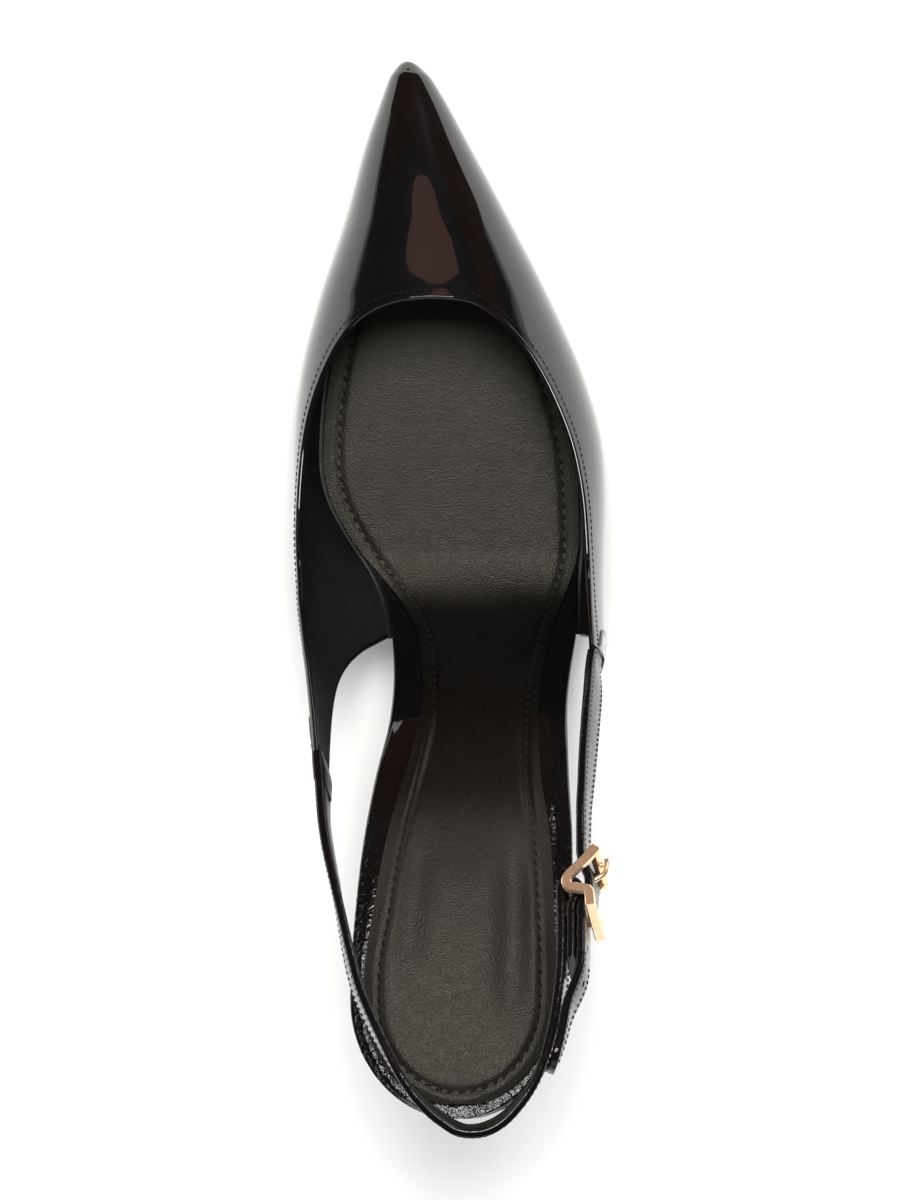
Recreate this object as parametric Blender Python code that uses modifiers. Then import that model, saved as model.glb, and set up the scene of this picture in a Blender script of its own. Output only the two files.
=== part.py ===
"""Right slingback pump with a pointed toe, a slim high heel and a buckled heel strap.

Metres, +Y to the toe, +X to the outer side of the foot, +Z up. The origin is the middle of
the flat forefoot tread, on the floor. The shoe stands on that flat and on its heel tip.
"""

from bisect import bisect_right
from math import asin, cos, pi, radians, sin, sqrt

import bmesh
import bpy
from mathutils import Vector

# Last: the form that the shoe is built on
LENGTH = 0.250
TOE_TO_TREAD = 0.1037
BALL_WIDTH = 0.076
INSTEP = 0.0345
HEEL_HEIGHT = 0.088
TOE_SPRING = 0.005
TOE_ROUND = 0.0042
NOSE_ROUND = 0.002
HEEL_ROUND = 0.0275

# Layers
WALL = 0.0015
OUTSOLE = 0.003
BOARD = 0.0028
SOCK = 0.0012
PAD = 0.0018
GAP = 0.0003
FEATHER_SET = 0.0022
RIM_WIDTH = 0.007
RIM_BACK = 0.0034
RIM_DROP = 0.0012
BOARD_EDGE = 0.9
BOARD_FRONT = 0.002
SOCK_FRONT = 0.004
SOCK_EDGE = 0.006
SOLE_EDGE = 0.004
WAIST_SET = 0.0035
WAIST_AT = 0.49
WAIST_RUN = 0.09
BREAST = 0.050

# Heel
SEAT_SET = 0.0015
SEAT_WIDTH = 0.048
TIP_HEIGHT = 0.006
TIP_EDGE = 0.0006

# Straps
STRAP_WIDTH = 0.0095
STRAP = 0.002
STRAP_ROUND = 0.0004
LOOP_WIDTH = 0.697 * BALL_WIDTH
BACK_RISE = 0.045
DOUBLED = 0.019
TAIL = 0.0448
TAIL_ROUND = 0.004
LAP_RUN = 0.006
TAIL_RUN = 0.013
JOINT = 0.0013
HOLE_PITCH = 0.009
HOLE = 0.0008
HOLES_BEHIND = (-1, 1, 2, 3)

# Buckle
BAR = 0.0008
RAIL = 0.001
BUCKLE_REACH = 0.0082
BUCKLE_BACK = 0.0066
RAIL_ROOM = 0.0006
PRONG = 0.00065
PRONG_HOLE = 0.004
PRONG_REACH = 0.0015

UP = Vector((0, 0, 1))
CURVE_STEPS = 400


def table(heading, *rows):
    """Gives rows under a line of column names as named columns."""
    return dict(zip(heading.split(), zip(*rows)))


# Sole line in side view: toe spring and the rise to the heel seat, both as shares of their sizes
PROFILE = table(
    "at    spring rise",
    (0.00, 1.00, 0.000),
    (0.08, 0.56, 0.000),
    (0.16, 0.25, 0.000),
    (0.24, 0.06, 0.000),
    (0.32, 0.00, 0.000),
    (0.475, 0.00, 0.000),
    (0.505, 0.00, 0.022),
    (0.53, 0.00, 0.066),
    (0.56, 0.00, 0.153),
    (0.60, 0.00, 0.292),
    (0.64, 0.00, 0.427),
    (0.68, 0.00, 0.545),
    (0.72, 0.00, 0.643),
    (0.77, 0.00, 0.740),
    (0.83, 0.00, 0.829),
    (0.90, 0.00, 0.905),
    (1.00, 0.00, 1.000),
)

# Sections along the last. Across: feather edge and widest line of each side, and the ridge, in
# ball widths. Up, above the feather edge: widest line of each side and the ridge, in instep heights.
LAST = table(
    "at sole_in sole_out wide_in wide_out ridge in_up out_up ridge_up",
    (0.000, -0.166, -0.104, -0.173, -0.097, -0.135, 0.10, 0.10, 0.20),
    (0.030, -0.194, -0.054, -0.209, -0.033, -0.126, 0.14, 0.14, 0.36),
    (0.080, -0.238, 0.028, -0.267, 0.058, -0.112, 0.18, 0.18, 0.56),
    (0.155, -0.290, 0.148, -0.334, 0.190, -0.092, 0.24, 0.24, 0.79),
    (0.233, -0.364, 0.270, -0.418, 0.321, -0.066, 0.31, 0.29, 1.00),
    (0.310, -0.418, 0.374, -0.478, 0.430, -0.060, 0.40, 0.35, 1.22),
    (0.387, -0.436, 0.434, -0.499, 0.492, -0.056, 0.50, 0.41, 1.45),
    (0.426, -0.412, 0.442, -0.498, 0.497, -0.056, 0.60, 0.46, 1.57),
    (0.465, -0.344, 0.444, -0.494, 0.493, -0.056, 0.75, 0.52, 1.70),
    (0.503, -0.262, 0.436, -0.483, 0.490, -0.056, 0.89, 0.59, 1.82),
    (0.530, -0.228, 0.434, -0.475, 0.488, -0.056, 0.95, 0.65, 1.86),
    (0.560, -0.212, 0.428, -0.461, 0.486, -0.056, 1.00, 0.72, 1.87),
    (0.597, -0.206, 0.408, -0.443, 0.470, -0.056, 1.03, 0.82, 1.82),
    (0.634, -0.216, 0.396, -0.428, 0.450, -0.050, 1.06, 0.92, 1.78),
    (0.690, -0.260, 0.398, -0.410, 0.424, -0.030, 1.12, 1.02, 1.72),
    (0.750, -0.296, 0.406, -0.400, 0.420, 0.000, 1.12, 1.02, 1.70),
    (0.810, -0.318, 0.402, -0.390, 0.410, 0.020, 1.12, 1.02, 1.70),
    (0.875, -0.332, 0.390, -0.390, 0.400, 0.028, 1.12, 1.02, 1.70),
    (1.000, -0.334, 0.384, -0.390, 0.400, 0.028, 1.12, 1.02, 1.70),
)

# Rim of the board beside the sock, in rim widths, and the sock's padding, in pads
RIM = table(
    "at rim pad",
    (0.00, 0.03, 0.00),
    (0.46, 0.03, 0.00),
    (0.50, 0.22, 0.00),
    (0.53, 0.62, 0.00),
    (0.56, 0.92, 0.00),
    (0.61, 1.00, 0.00),
    (0.67, 0.98, 0.15),
    (0.73, 0.80, 0.55),
    (0.80, 0.62, 1.00),
    (0.87, 0.46, 1.00),
    (1.00, 0.46, 0.80),
)

# Topline from the throat's middle: share of the length, and share of the way from feather to ridge
TOPLINE_IN = (
    (0.2335, 1.000), (0.2352, 0.935), (0.2400, 0.875), (0.2475, 0.824), (0.2590, 0.776),
    (0.2780, 0.732), (0.3050, 0.690), (0.3400, 0.650), (0.3800, 0.617), (0.4210, 0.590),
    (0.4650, 0.566), (0.5100, 0.543), (0.5520, 0.517), (0.5950, 0.492), (0.6320, 0.478), (0.6630, 0.472),
)
TOPLINE_OUT = (
    (0.2335, 1.000), (0.2345, 0.935), (0.2390, 0.882), (0.2475, 0.846), (0.2600, 0.810),
    (0.2820, 0.768), (0.3120, 0.735), (0.3450, 0.711), (0.3800, 0.690), (0.4200, 0.668),
    (0.4600, 0.650), (0.5000, 0.638), (0.5350, 0.630), (0.5650, 0.620),
)

# Rear edge of each quarter, from the feather up to the strap
CUT_IN = (
    (0.5600, 0.000), (0.5645, 0.030), (0.5730, 0.090), (0.5860, 0.155), (0.6010, 0.208),
    (0.6190, 0.245), (0.6400, 0.272), (0.6640, 0.292), (0.6900, 0.308),
)
CUT_OUT = (
    (0.5560, 0.000), (0.5570, 0.090), (0.5590, 0.180), (0.5635, 0.270), (0.5730, 0.350), (0.5905, 0.422),
)

# Columns of the wall: from the toe to the throat, along the topline, and along the cut-out
TOE_COLUMNS = 13
SIDE_COLUMNS = {"in": 13, "out": 13}
CUT_COLUMNS = {"in": 10, "out": 6}
WALL_ROWS = 12
TOE_CROWD = 1.7
TOE_FOOT = 0.205
SIDE_PART = {"in": 11, "out": 11}
TOPLINE = {"in": TOPLINE_IN, "out": TOPLINE_OUT}
CUT = {"in": CUT_IN, "out": CUT_OUT}

# Sling strap's middle line from the inner quarter to the buckle: share of the length, distance
# across in loop widths, height from the inner quarter (0) to the back (1), and the top's lean out
SLING = table(
    "at across up lean",
    (0.7190, -0.548, 0.180, 6),
    (0.7480, -0.528, 0.295, 4),
    (0.7760, -0.500, 0.400, 1),
    (0.8040, -0.471, 0.495, -3),
    (0.8470, -0.426, 0.630, -8),
    (0.8780, -0.381, 0.720, -10),
    (0.9170, -0.292, 0.825, -8),
    (0.9510, -0.196, 0.905, -3),
    (0.9770, -0.085, 0.960, 2),
    (0.9950, 0.065, 1.000, 5),
    (0.9870, 0.208, 0.985, 4),
    (0.9600, 0.330, 0.935, 0),
    (0.9350, 0.392, 0.875, -4),
    (0.9060, 0.437, 0.800, -8),
    (0.8780, 0.465, 0.715, -10),
    (0.8520, 0.480, 0.627, -10),
    (0.8210, 0.486, 0.519, -10),
    (0.7950, 0.486, 0.424, -10),
)

# Front strap's middle line from the buckle forward to the outer quarter, in the same measures
FRONT = table(
    "at across up lean",
    (0.7550, 0.580, 0.282, -10),
    (0.7200, 0.580, 0.160, -13),
    (0.6900, 0.592, 0.042, -17),
    (0.6600, 0.606, -0.085, -20),
    (0.6300, 0.621, -0.215, -21),
    (0.6030, 0.634, -0.345, -20),
)

# Heel sections: height above the tip, half width, front and back, as shares of the seat, and fullness
HEEL = table(
    "up half front back full",
    (0.00, 0.235, 0.575, 0.790, 2.3),
    (0.12, 0.238, 0.572, 0.794, 2.3),
    (0.28, 0.248, 0.560, 0.803, 2.3),
    (0.45, 0.272, 0.535, 0.820, 2.3),
    (0.60, 0.320, 0.485, 0.845, 2.3),
    (0.72, 0.400, 0.405, 0.872, 2.4),
    (0.82, 0.525, 0.300, 0.905, 2.5),
    (0.90, 0.690, 0.180, 0.940, 2.7),
    (0.96, 0.870, 0.070, 0.975, 2.9),
    (1.00, 1.000, 0.000, 1.000, 3.0),
)


def slope_at(xs, ys, k):
    """Slope of the curve through a row, flat at peaks and never steep enough to overshoot."""
    last = len(xs) - 1
    if k in (0, last):
        a = min(k, last - 1)
        return (ys[a + 1] - ys[a]) / (xs[a + 1] - xs[a])
    before = xs[k] - xs[k - 1]
    after = xs[k + 1] - xs[k]
    rise_before = (ys[k] - ys[k - 1]) / before
    rise_after = (ys[k + 1] - ys[k]) / after
    if rise_before * rise_after <= 0:
        return 0.0
    middle = (rise_before * after + rise_after * before) / (before + after)
    limit = 2 * min(abs(rise_before), abs(rise_after))
    return max(-limit, min(limit, middle))


def read(rows, name, at, key="at"):
    """Reads a column on the smooth curve through its rows."""
    xs = rows[key]
    ys = rows[name]
    at = min(max(at, xs[0]), xs[-1])
    k = min(bisect_right(xs, at) - 1, len(xs) - 2)
    run = xs[k + 1] - xs[k]
    u = (at - xs[k]) / run
    return (
        (1 + 2 * u) * (1 - u) ** 2 * ys[k]
        + u * (1 - u) ** 2 * run * slope_at(xs, ys, k)
        + u * u * (3 - 2 * u) * ys[k + 1]
        + u * u * (u - 1) * run * slope_at(xs, ys, k + 1)
    )


def spline(points, share):
    """Point at a share of the way along a smooth curve through evenly counted points."""
    place = share * (len(points) - 1)
    k = min(int(place), len(points) - 2)
    u = place - k
    a = points[max(k - 1, 0)]
    b = points[k]
    c = points[k + 1]
    d = points[min(k + 2, len(points) - 1)]
    return tuple(
        0.5 * (2 * q + (r - p) * u + (2 * p - 5 * q + 4 * r - s) * u * u + (3 * q - p - 3 * r + s) * u ** 3)
        for p, q, r, s in zip(a, b, c, d)
    )


def blend(share):
    """Soft step from 0 to 1."""
    share = min(max(share, 0.0), 1.0)
    return share * share * (3 - 2 * share)


def closed_in(distance, reach):
    """Share of the full width left at a distance from a rounded end."""
    if distance >= reach:
        return 1.0
    return sqrt(max(0.0, 1 - (1 - distance / reach) ** 2))


def along(share):
    """Y of a share of the length."""
    return TOE_TO_TREAD - LENGTH * share


def feather_level(share):
    """Height of the feather line, where the upper and the board meet the sole."""
    low = OUTSOLE + GAP
    spring = TOE_SPRING * read(PROFILE, "spring", share)
    return low + spring + (HEEL_HEIGHT - low) * read(PROFILE, "rise", share)


def upright(share, thickness):
    """Height that a layer takes up where the sole line slopes."""
    step = 0.004
    before = max(share - step, 0.0)
    after = min(share + step, 1.0)
    slope = (feather_level(after) - feather_level(before)) / ((after - before) * LENGTH)
    return thickness * sqrt(1 + slope ** 2)


def across(name, share):
    """X of a line of the last, drawn in to the toe's rounded tip."""
    ridge = read(LAST, "ridge", share)
    reach = closed_in(share * LENGTH, TOE_ROUND)
    return BALL_WIDTH * (ridge + reach * (read(LAST, name, share) - ridge))


def upper_point(side, share, turn):
    """Point on the outside of the upper: turn runs from the feather (0) by the widest line to the ridge (1)."""
    base = feather_level(share)
    wide_up = base + INSTEP * read(LAST, side + "_up", share)
    ridge_up = base + INSTEP * read(LAST, "ridge_up", share)
    sole = across("sole_" + side, share)
    wide = across("wide_" + side, share)
    ridge = BALL_WIDTH * read(LAST, "ridge", share)
    fullness = 0.56
    if turn <= 0.5:
        u = 2 * turn
        x = (1 - u) ** 2 * sole + (1 - (1 - u) ** 2) * wide
        z = base + u * (wide_up - base)
    else:
        u = 2 * turn - 1
        start = (1 - u) ** 3 + 3 * u * (1 - u) ** 2
        bend = 3 * u * u * (1 - u)
        x = start * wide + bend * (ridge + fullness * (wide - ridge)) + u ** 3 * ridge
        z = start * wide_up + 3 * u * (1 - u) ** 2 * fullness * (ridge_up - wide_up) + (bend + u ** 3) * ridge_up
    nose = max(0.0, 1 - share * LENGTH / TOE_ROUND) ** 2
    return Vector((x, along(share) - NOSE_ROUND * nose * (1 - sin(pi * turn)), z))


def material(name, colour, roughness, metallic=0.0):
    """Plain surface with a part's colour."""
    made = bpy.data.materials.new(name)
    made.use_nodes = True
    shader = made.node_tree.nodes["Principled BSDF"]
    shader.inputs["Base Color"].default_value = (*colour, 1)
    shader.inputs["Roughness"].default_value = roughness
    shader.inputs["Metallic"].default_value = metallic
    return made


def new_object(name, mesh, surface, collection):
    """Puts a mesh in the scene as a named, smooth shaded object."""
    mesh.name = name
    made = bpy.data.objects.new(name, mesh)
    collection.objects.link(made)
    if surface:
        mesh.materials.append(surface)
        mesh.shade_smooth()
        mesh.set_sharp_from_angle(angle=radians(40))
    return made


def loft(name, rings, surface, collection, ladder=False):
    """Closed solid through equal rings. Ladder ends join each ring's points in mirrored pairs."""
    shape = bmesh.new()
    made = [[shape.verts.new(point) for point in ring] for ring in rings]
    count = len(rings[0])
    for first, second in zip(made, made[1:]):
        for k in range(count):
            after = (k + 1) % count
            shape.faces.new((first[k], first[after], second[after], second[k]))
    for ring in (made[0], made[-1]):
        if not ladder:
            shape.faces.new(ring)
            continue
        for k in range(count // 2 - 1):
            corners = (ring[k], ring[k + 1], ring[-k - 2], ring[-k - 1])
            shape.faces.new(corners)
    bmesh.ops.recalc_face_normals(shape, faces=shape.faces)
    mesh = bpy.data.meshes.new(name)
    shape.to_mesh(mesh)
    shape.free()
    return new_object(name, mesh, surface, collection)


def upper_columns(side):
    """Foot and head of each line of the wall, as shares of the length and of the turn."""
    topline = TOPLINE[side]
    cut = CUT[side]
    throat = topline[0][0]
    part = SIDE_PART[side] / (len(topline) - 1)
    columns = []
    for k in range(TOE_COLUMNS):
        share = (k / TOE_COLUMNS) ** TOE_CROWD
        columns.append(((share * TOE_FOOT, 0.0), (share * throat, 1.0)))
    for k in range(SIDE_COLUMNS[side]):
        share = k / SIDE_COLUMNS[side]
        foot = TOE_FOOT + share * (cut[0][0] - TOE_FOOT)
        columns.append(((foot, 0.0), spline(topline, share * part)))
    for k in range(CUT_COLUMNS[side] + 1):
        share = k / CUT_COLUMNS[side]
        columns.append((spline(cut, share), spline(topline, part + share * (1 - part))))
    return columns


def make_upper(surface, collection):
    """Toe box, vamp and both quarters: one wall, open at the throat, the cut-outs and underneath."""
    shape = bmesh.new()
    for side in ("in", "out"):
        columns = upper_columns(side)
        lines = []
        for foot, head in columns:
            line = []
            for row in range(WALL_ROWS + 1):
                rise = row / WALL_ROWS
                share = foot[0] + rise * (head[0] - foot[0])
                turn = foot[1] + rise * (head[1] - foot[1])
                line.append(shape.verts.new(upper_point(side, share, turn)))
            lines.append(line)
        for first, second in zip(lines, lines[1:]):
            for row in range(WALL_ROWS):
                corners = [first[row], second[row], second[row + 1], first[row + 1]]
                if side == "out":
                    corners.reverse()
                shape.faces.new(corners)
    bmesh.ops.remove_doubles(shape, verts=shape.verts, dist=0.00001)
    mesh = bpy.data.meshes.new("upper")
    shape.to_mesh(mesh)
    shape.free()
    upper = new_object("upper", mesh, surface, collection)
    shell = upper.modifiers.new("wall", "SOLIDIFY")
    shell.thickness = WALL
    shell.offset = -1
    shell.use_even_offset = True
    return upper


def outline(share, set_in, start, end, end_round):
    """Inner and outer X of a layer set in from the feather line, rounded at its start and end."""
    reach = closed_in((share - start) * LENGTH, TOE_ROUND) * closed_in((end - share) * LENGTH, end_round)
    middle = BALL_WIDTH * read(LAST, "ridge", share)
    inner = BALL_WIDTH * read(LAST, "sole_in", share) + set_in
    outer = BALL_WIDTH * read(LAST, "sole_out", share) - set_in
    return middle + reach * (inner - middle), middle + reach * (outer - middle)


def stations(start, end, count, ends=0.0004):
    """Shares of the length that crowd towards both rounded ends."""
    first = start + ends / LENGTH
    last = end - ends / LENGTH
    return [first + (last - first) * (1 - cos(pi * k / count)) / 2 for k in range(count + 1)]


def layer_ring(share, inner, outer, bottom, top, edge_top, edge):
    """Cross-section of a sole layer: flat middle, rounded edges that may sit lower than the middle."""
    y = along(share)
    width = outer - inner
    edge = min(edge, 0.3 * width)
    soft = 0.35 * (edge_top - bottom)
    slim = min(soft, 0.1 * width)
    middle = (inner + outer) / 2
    swell = 0.55 * edge
    swell_top = edge_top + 0.65 * (top - edge_top)
    return [
        Vector((inner + slim, y, bottom)),
        Vector((middle, y, bottom)),
        Vector((outer - slim, y, bottom)),
        Vector((outer, y, bottom + soft)),
        Vector((outer, y, edge_top - soft)),
        Vector((outer - slim, y, edge_top)),
        Vector((outer - swell, y, swell_top)),
        Vector((outer - edge, y, top)),
        Vector((middle, y, top)),
        Vector((inner + edge, y, top)),
        Vector((inner + swell, y, swell_top)),
        Vector((inner + slim, y, edge_top)),
        Vector((inner, y, edge_top - soft)),
        Vector((inner, y, bottom + soft)),
    ]


def make_outsole(surface, collection):
    """Outsole from the toe to the heel breast, with its waist drawn in under the board."""
    front = (NOSE_ROUND + GAP) / LENGTH
    end = 1 - (BREAST + GAP) / LENGTH
    rings = []
    for share in stations(front, end, 34):
        drawn_in = (FEATHER_SET + WAIST_SET) * blend((share - WAIST_AT) / WAIST_RUN)
        inner, outer = outline(share, drawn_in, front, 1.0, 0.0)
        top = feather_level(share) - upright(share, GAP)
        bottom = top - upright(share, OUTSOLE)
        rings.append(layer_ring(share, inner, outer, bottom, top, top, SOLE_EDGE))
    return loft("outsole", rings, surface, collection)


def board_top(share):
    """Height of the board's upper face along its middle."""
    return feather_level(share) + upright(share, BOARD)


def make_board(surface, collection):
    """Board inside the upper, whose wrapped rim shows from the waist to the heel seat."""
    front = (WALL + NOSE_ROUND + BOARD_FRONT) / LENGTH
    rings = []
    for share in stations(front, 1.0, 38):
        inner, outer = outline(share, FEATHER_SET, front, 1.0, HEEL_ROUND)
        top = board_top(share)
        edge_top = top - RIM_DROP * blend((share - WAIST_AT) / WAIST_RUN)
        edge = max(BOARD_FRONT, BOARD_EDGE * RIM_WIDTH * read(RIM, "rim", share))
        rings.append(layer_ring(share, inner, outer, feather_level(share), top, edge_top, edge))
    return loft("insole_board", rings, surface, collection)


def make_sock(surface, collection):
    """Sock lining on the board, padded under the heel."""
    front = (WALL + NOSE_ROUND + SOCK_FRONT) / LENGTH
    back = 1 - RIM_BACK / LENGTH
    rings = []
    for share in stations(front, back, 34):
        set_in = FEATHER_SET + RIM_WIDTH * read(RIM, "rim", share)
        inner, outer = outline(share, set_in, front, back, HEEL_ROUND - RIM_BACK)
        bottom = board_top(share) + upright(share, GAP)
        pad = PAD * read(RIM, "pad", share)
        low = 0.7 * SOCK
        edge_top = bottom + upright(share, low)
        ends = closed_in((back - share) * LENGTH, 2 * RIM_WIDTH) * closed_in((share - front) * LENGTH, RIM_WIDTH)
        top = edge_top + ends * upright(share, SOCK - low + pad)
        rings.append(layer_ring(share, inner, outer, bottom, top, edge_top, SOCK_EDGE))
    return loft("sock_lining", rings, surface, collection)


def heel_ring(half, front, back, full, count=10):
    """D-shaped outline in plan, from its inner front corner by the back to its outer front corner."""
    seat_front = along(1.0) + BREAST
    y_front = seat_front - front * (BREAST - SEAT_SET)
    y_back = seat_front - back * (BREAST - SEAT_SET)
    middle = BALL_WIDTH * read(LAST, "ridge", 1.0)
    points = []
    for k in range(2 * count + 1):
        turn = pi * k / (2 * count)
        side = abs(cos(turn)) ** (2 / full)
        x = middle - half * SEAT_WIDTH / 2 * side * (1 if turn < pi / 2 else -1)
        if k == count:
            x = middle
        points.append((x, y_front + (y_back - y_front) * sin(turn) ** (2 / full)))
    return points


def make_heel(surface, collection):
    """Slim heel: its top follows the board's underside, its foot is level above the tip."""
    foot = TIP_HEIGHT + GAP
    seat = heel_ring(HEEL["half"][-1], HEEL["front"][-1], HEEL["back"][-1], HEEL["full"][-1])
    tops = [feather_level((TOE_TO_TREAD - y) / LENGTH) - GAP for _, y in seat]
    rings = []
    for up in HEEL["up"]:
        section = heel_ring(*(read(HEEL, name, up, "up") for name in ("half", "front", "back", "full")))
        rings.append([Vector((x, y, foot + up * (top - foot))) for (x, y), top in zip(section, tops)])
    for ring in rings:
        ring.append((ring[0] + ring[-1]) / 2)
        ring.insert(0, ring.pop())
    return loft("heel", rings, surface, collection, ladder=True)


def make_heel_tip(surface, collection):
    """Rubber top piece that stands on the floor."""
    section = heel_ring(HEEL["half"][0], HEEL["front"][0], HEEL["back"][0], HEEL["full"][0])
    middle = sum((Vector((x, y, 0)) for x, y in section), Vector()) / len(section)
    rings = []
    for level, scale in ((0.0, 0.95), (TIP_EDGE, 1.0), (TIP_HEIGHT, 1.0)):
        rings.append([middle + scale * (Vector((x, y, 0)) - middle) + level * UP for x, y in section])
    return loft("heel_tip", rings, surface, collection)


def quarter_end(side):
    """Middle of a quarter's strap end, half a strap's thickness inside its outer face, and its lean."""
    low = upper_point(side, *CUT[side][-1])
    high = upper_point(side, *TOPLINE[side][-1])
    inward = 1 if side == "in" else -1
    outward_tilt = asin((high.x - low.x) * -inward / (high - low).length)
    middle = (low + high) / 2 + Vector((inward * STRAP / 2, 0, 0))
    return middle, outward_tilt


def strap_axes(forward, lean):
    """Outward and upward directions of a band that runs round the foot."""
    side = forward.cross(UP).normalized()
    rise = side.cross(forward).normalized()
    outward = side * cos(lean) - rise * sin(lean)
    upward = rise * cos(lean) + side * sin(lean)
    return outward, upward


def path_points(rows, base, height):
    """Points and leans of a strap table."""
    points = []
    for share, x, up, lean in zip(rows["at"], rows["across"], rows["up"], rows["lean"]):
        points.append((x * LOOP_WIDTH, along(share), base + up * height, radians(lean)))
    return points


def frames(points, count):
    """Evenly spaced places on a smooth curve: position, forward, outward and upward directions."""
    dense = [spline(points, k / CURVE_STEPS) for k in range(CURVE_STEPS + 1)]
    spots = [Vector(p[:3]) for p in dense]
    run = [0.0]
    for a, b in zip(spots, spots[1:]):
        run.append(run[-1] + (b - a).length)
    made = []
    for k in range(count + 1):
        goal = run[-1] * k / count
        i = min(max(bisect_right(run, goal) - 1, 0), len(run) - 2)
        share = (goal - run[i]) / (run[i + 1] - run[i])
        forward = (spots[min(i + 3, CURVE_STEPS)] - spots[max(i - 3, 0)]).normalized()
        lean = dense[i][3] + share * (dense[i + 1][3] - dense[i][3])
        outward, upward = strap_axes(forward, lean)
        made.append((spots[i].lerp(spots[i + 1], share), forward, outward, upward))
    return made


def sling_frames():
    """Places along the sling strap, from the inner quarter to the buckle's middle bar."""
    start, lean = quarter_end("in")
    height = feather_level(1.0) + BACK_RISE - start.z
    points = path_points(SLING, start.z, height)
    rise = Vector(points[0][:3]) - start
    start = start + rise.normalized() * JOINT
    return frames([(*start, lean)] + points, 40)


def fold_radius():
    """Radius of the sling strap's middle where it folds round the bar."""
    return BAR + GAP + STRAP / 2


def from_bar(forward_by, outward_by, upward_by):
    """Point at distances from the middle of the buckle's bar."""
    spot, forward, outward, upward = sling_frames()[-1]
    centre = spot + outward * fold_radius()
    return centre + forward * forward_by + outward * outward_by + upward * upward_by


def lap(distance):
    """Distance between the middles of the sling strap's two layers, behind the bar."""
    closed = STRAP + GAP
    return closed + (2 * fold_radius() - closed) * (1 - blend(distance / LAP_RUN))


def place_behind(places, distance):
    """Place on a path at a distance back from its end."""
    left = distance
    for later, earlier in zip(places[::-1], places[-2::-1]):
        step = (later[0] - earlier[0]).length
        if left <= step:
            share = left / step
            return tuple(a.lerp(b, share) for a, b in zip(later, earlier))
        left -= step
    return places[0]


def tail_place(distance):
    """Place in the free end, at a distance behind the buckle's bar: on top of the sling strap's layers."""
    spot, forward, outward, upward = place_behind(sling_frames(), distance)
    layer = STRAP + GAP
    stack = lap(distance) + layer - layer * blend((distance - DOUBLED) / TAIL_RUN)
    return spot + outward * stack, forward, outward, upward


def front_frames():
    """Places along the front strap, from the buckle's bar forward to the outer quarter."""
    start, _ = quarter_end("in")
    height = feather_level(1.0) + BACK_RISE - start.z
    leave, forward, _, _ = tail_place(0.0)
    lean_here = radians(SLING["lean"][-1])
    ahead = leave + forward * PRONG_HOLE
    end, lean = quarter_end("out")
    points = path_points(FRONT, start.z, height)
    last = Vector(points[-1][:3])
    end = end + (last - end).normalized() * JOINT
    return frames([(*leave, lean_here), (*ahead, lean_here)] + points + [(*end, lean)], 28)


def front_place(distance):
    """Place in the front strap, at a distance ahead of the buckle's bar."""
    return place_behind(front_frames()[::-1], distance)


def band_ring(spot, outward, upward, width, thickness):
    """Cross-section of a strap with soft edges."""
    out = thickness / 2
    up = width / 2
    flat_out = out - STRAP_ROUND
    flat_up = up - STRAP_ROUND
    corners = (
        (-out, -flat_up), (-flat_out, -up), (flat_out, -up), (out, -flat_up),
        (out, flat_up), (flat_out, up), (-flat_out, up), (-out, flat_up),
    )
    return [spot + outward * a + upward * b for a, b in corners]


def tube(name, points, radius, collection, closed=False):
    """Round bar through points, as a mesh with its ends filled."""
    curve = bpy.data.curves.new(name, "CURVE")
    curve.dimensions = "3D"
    curve.bevel_depth = radius
    curve.bevel_resolution = 2
    curve.use_fill_caps = not closed
    line = curve.splines.new("POLY")
    line.points.add(len(points) - 1)
    line.use_cyclic_u = closed
    for point, place in zip(line.points, points):
        point.co = (*place, 1)
    drawn = bpy.data.objects.new(name, curve)
    collection.objects.link(drawn)
    evaluated = drawn.evaluated_get(bpy.context.evaluated_depsgraph_get())
    mesh = bpy.data.meshes.new_from_object(evaluated)
    shape = bmesh.new()
    shape.from_mesh(mesh)
    bmesh.ops.remove_doubles(shape, verts=shape.verts, dist=0.00001)
    bmesh.ops.recalc_face_normals(shape, faces=shape.faces)
    shape.to_mesh(mesh)
    shape.free()
    bpy.data.objects.remove(drawn)
    return mesh


def cutter(name, mesh, collection):
    """Guide that only cuts another piece."""
    made = new_object(name, mesh, None, collection)
    made.hide_render = True
    made.display_type = "WIRE"
    return made


def join(target, tool, operation):
    """Boolean of one object on another."""
    change = target.modifiers.new(tool.name, "BOOLEAN")
    change.operation = operation
    change.object = tool


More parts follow.
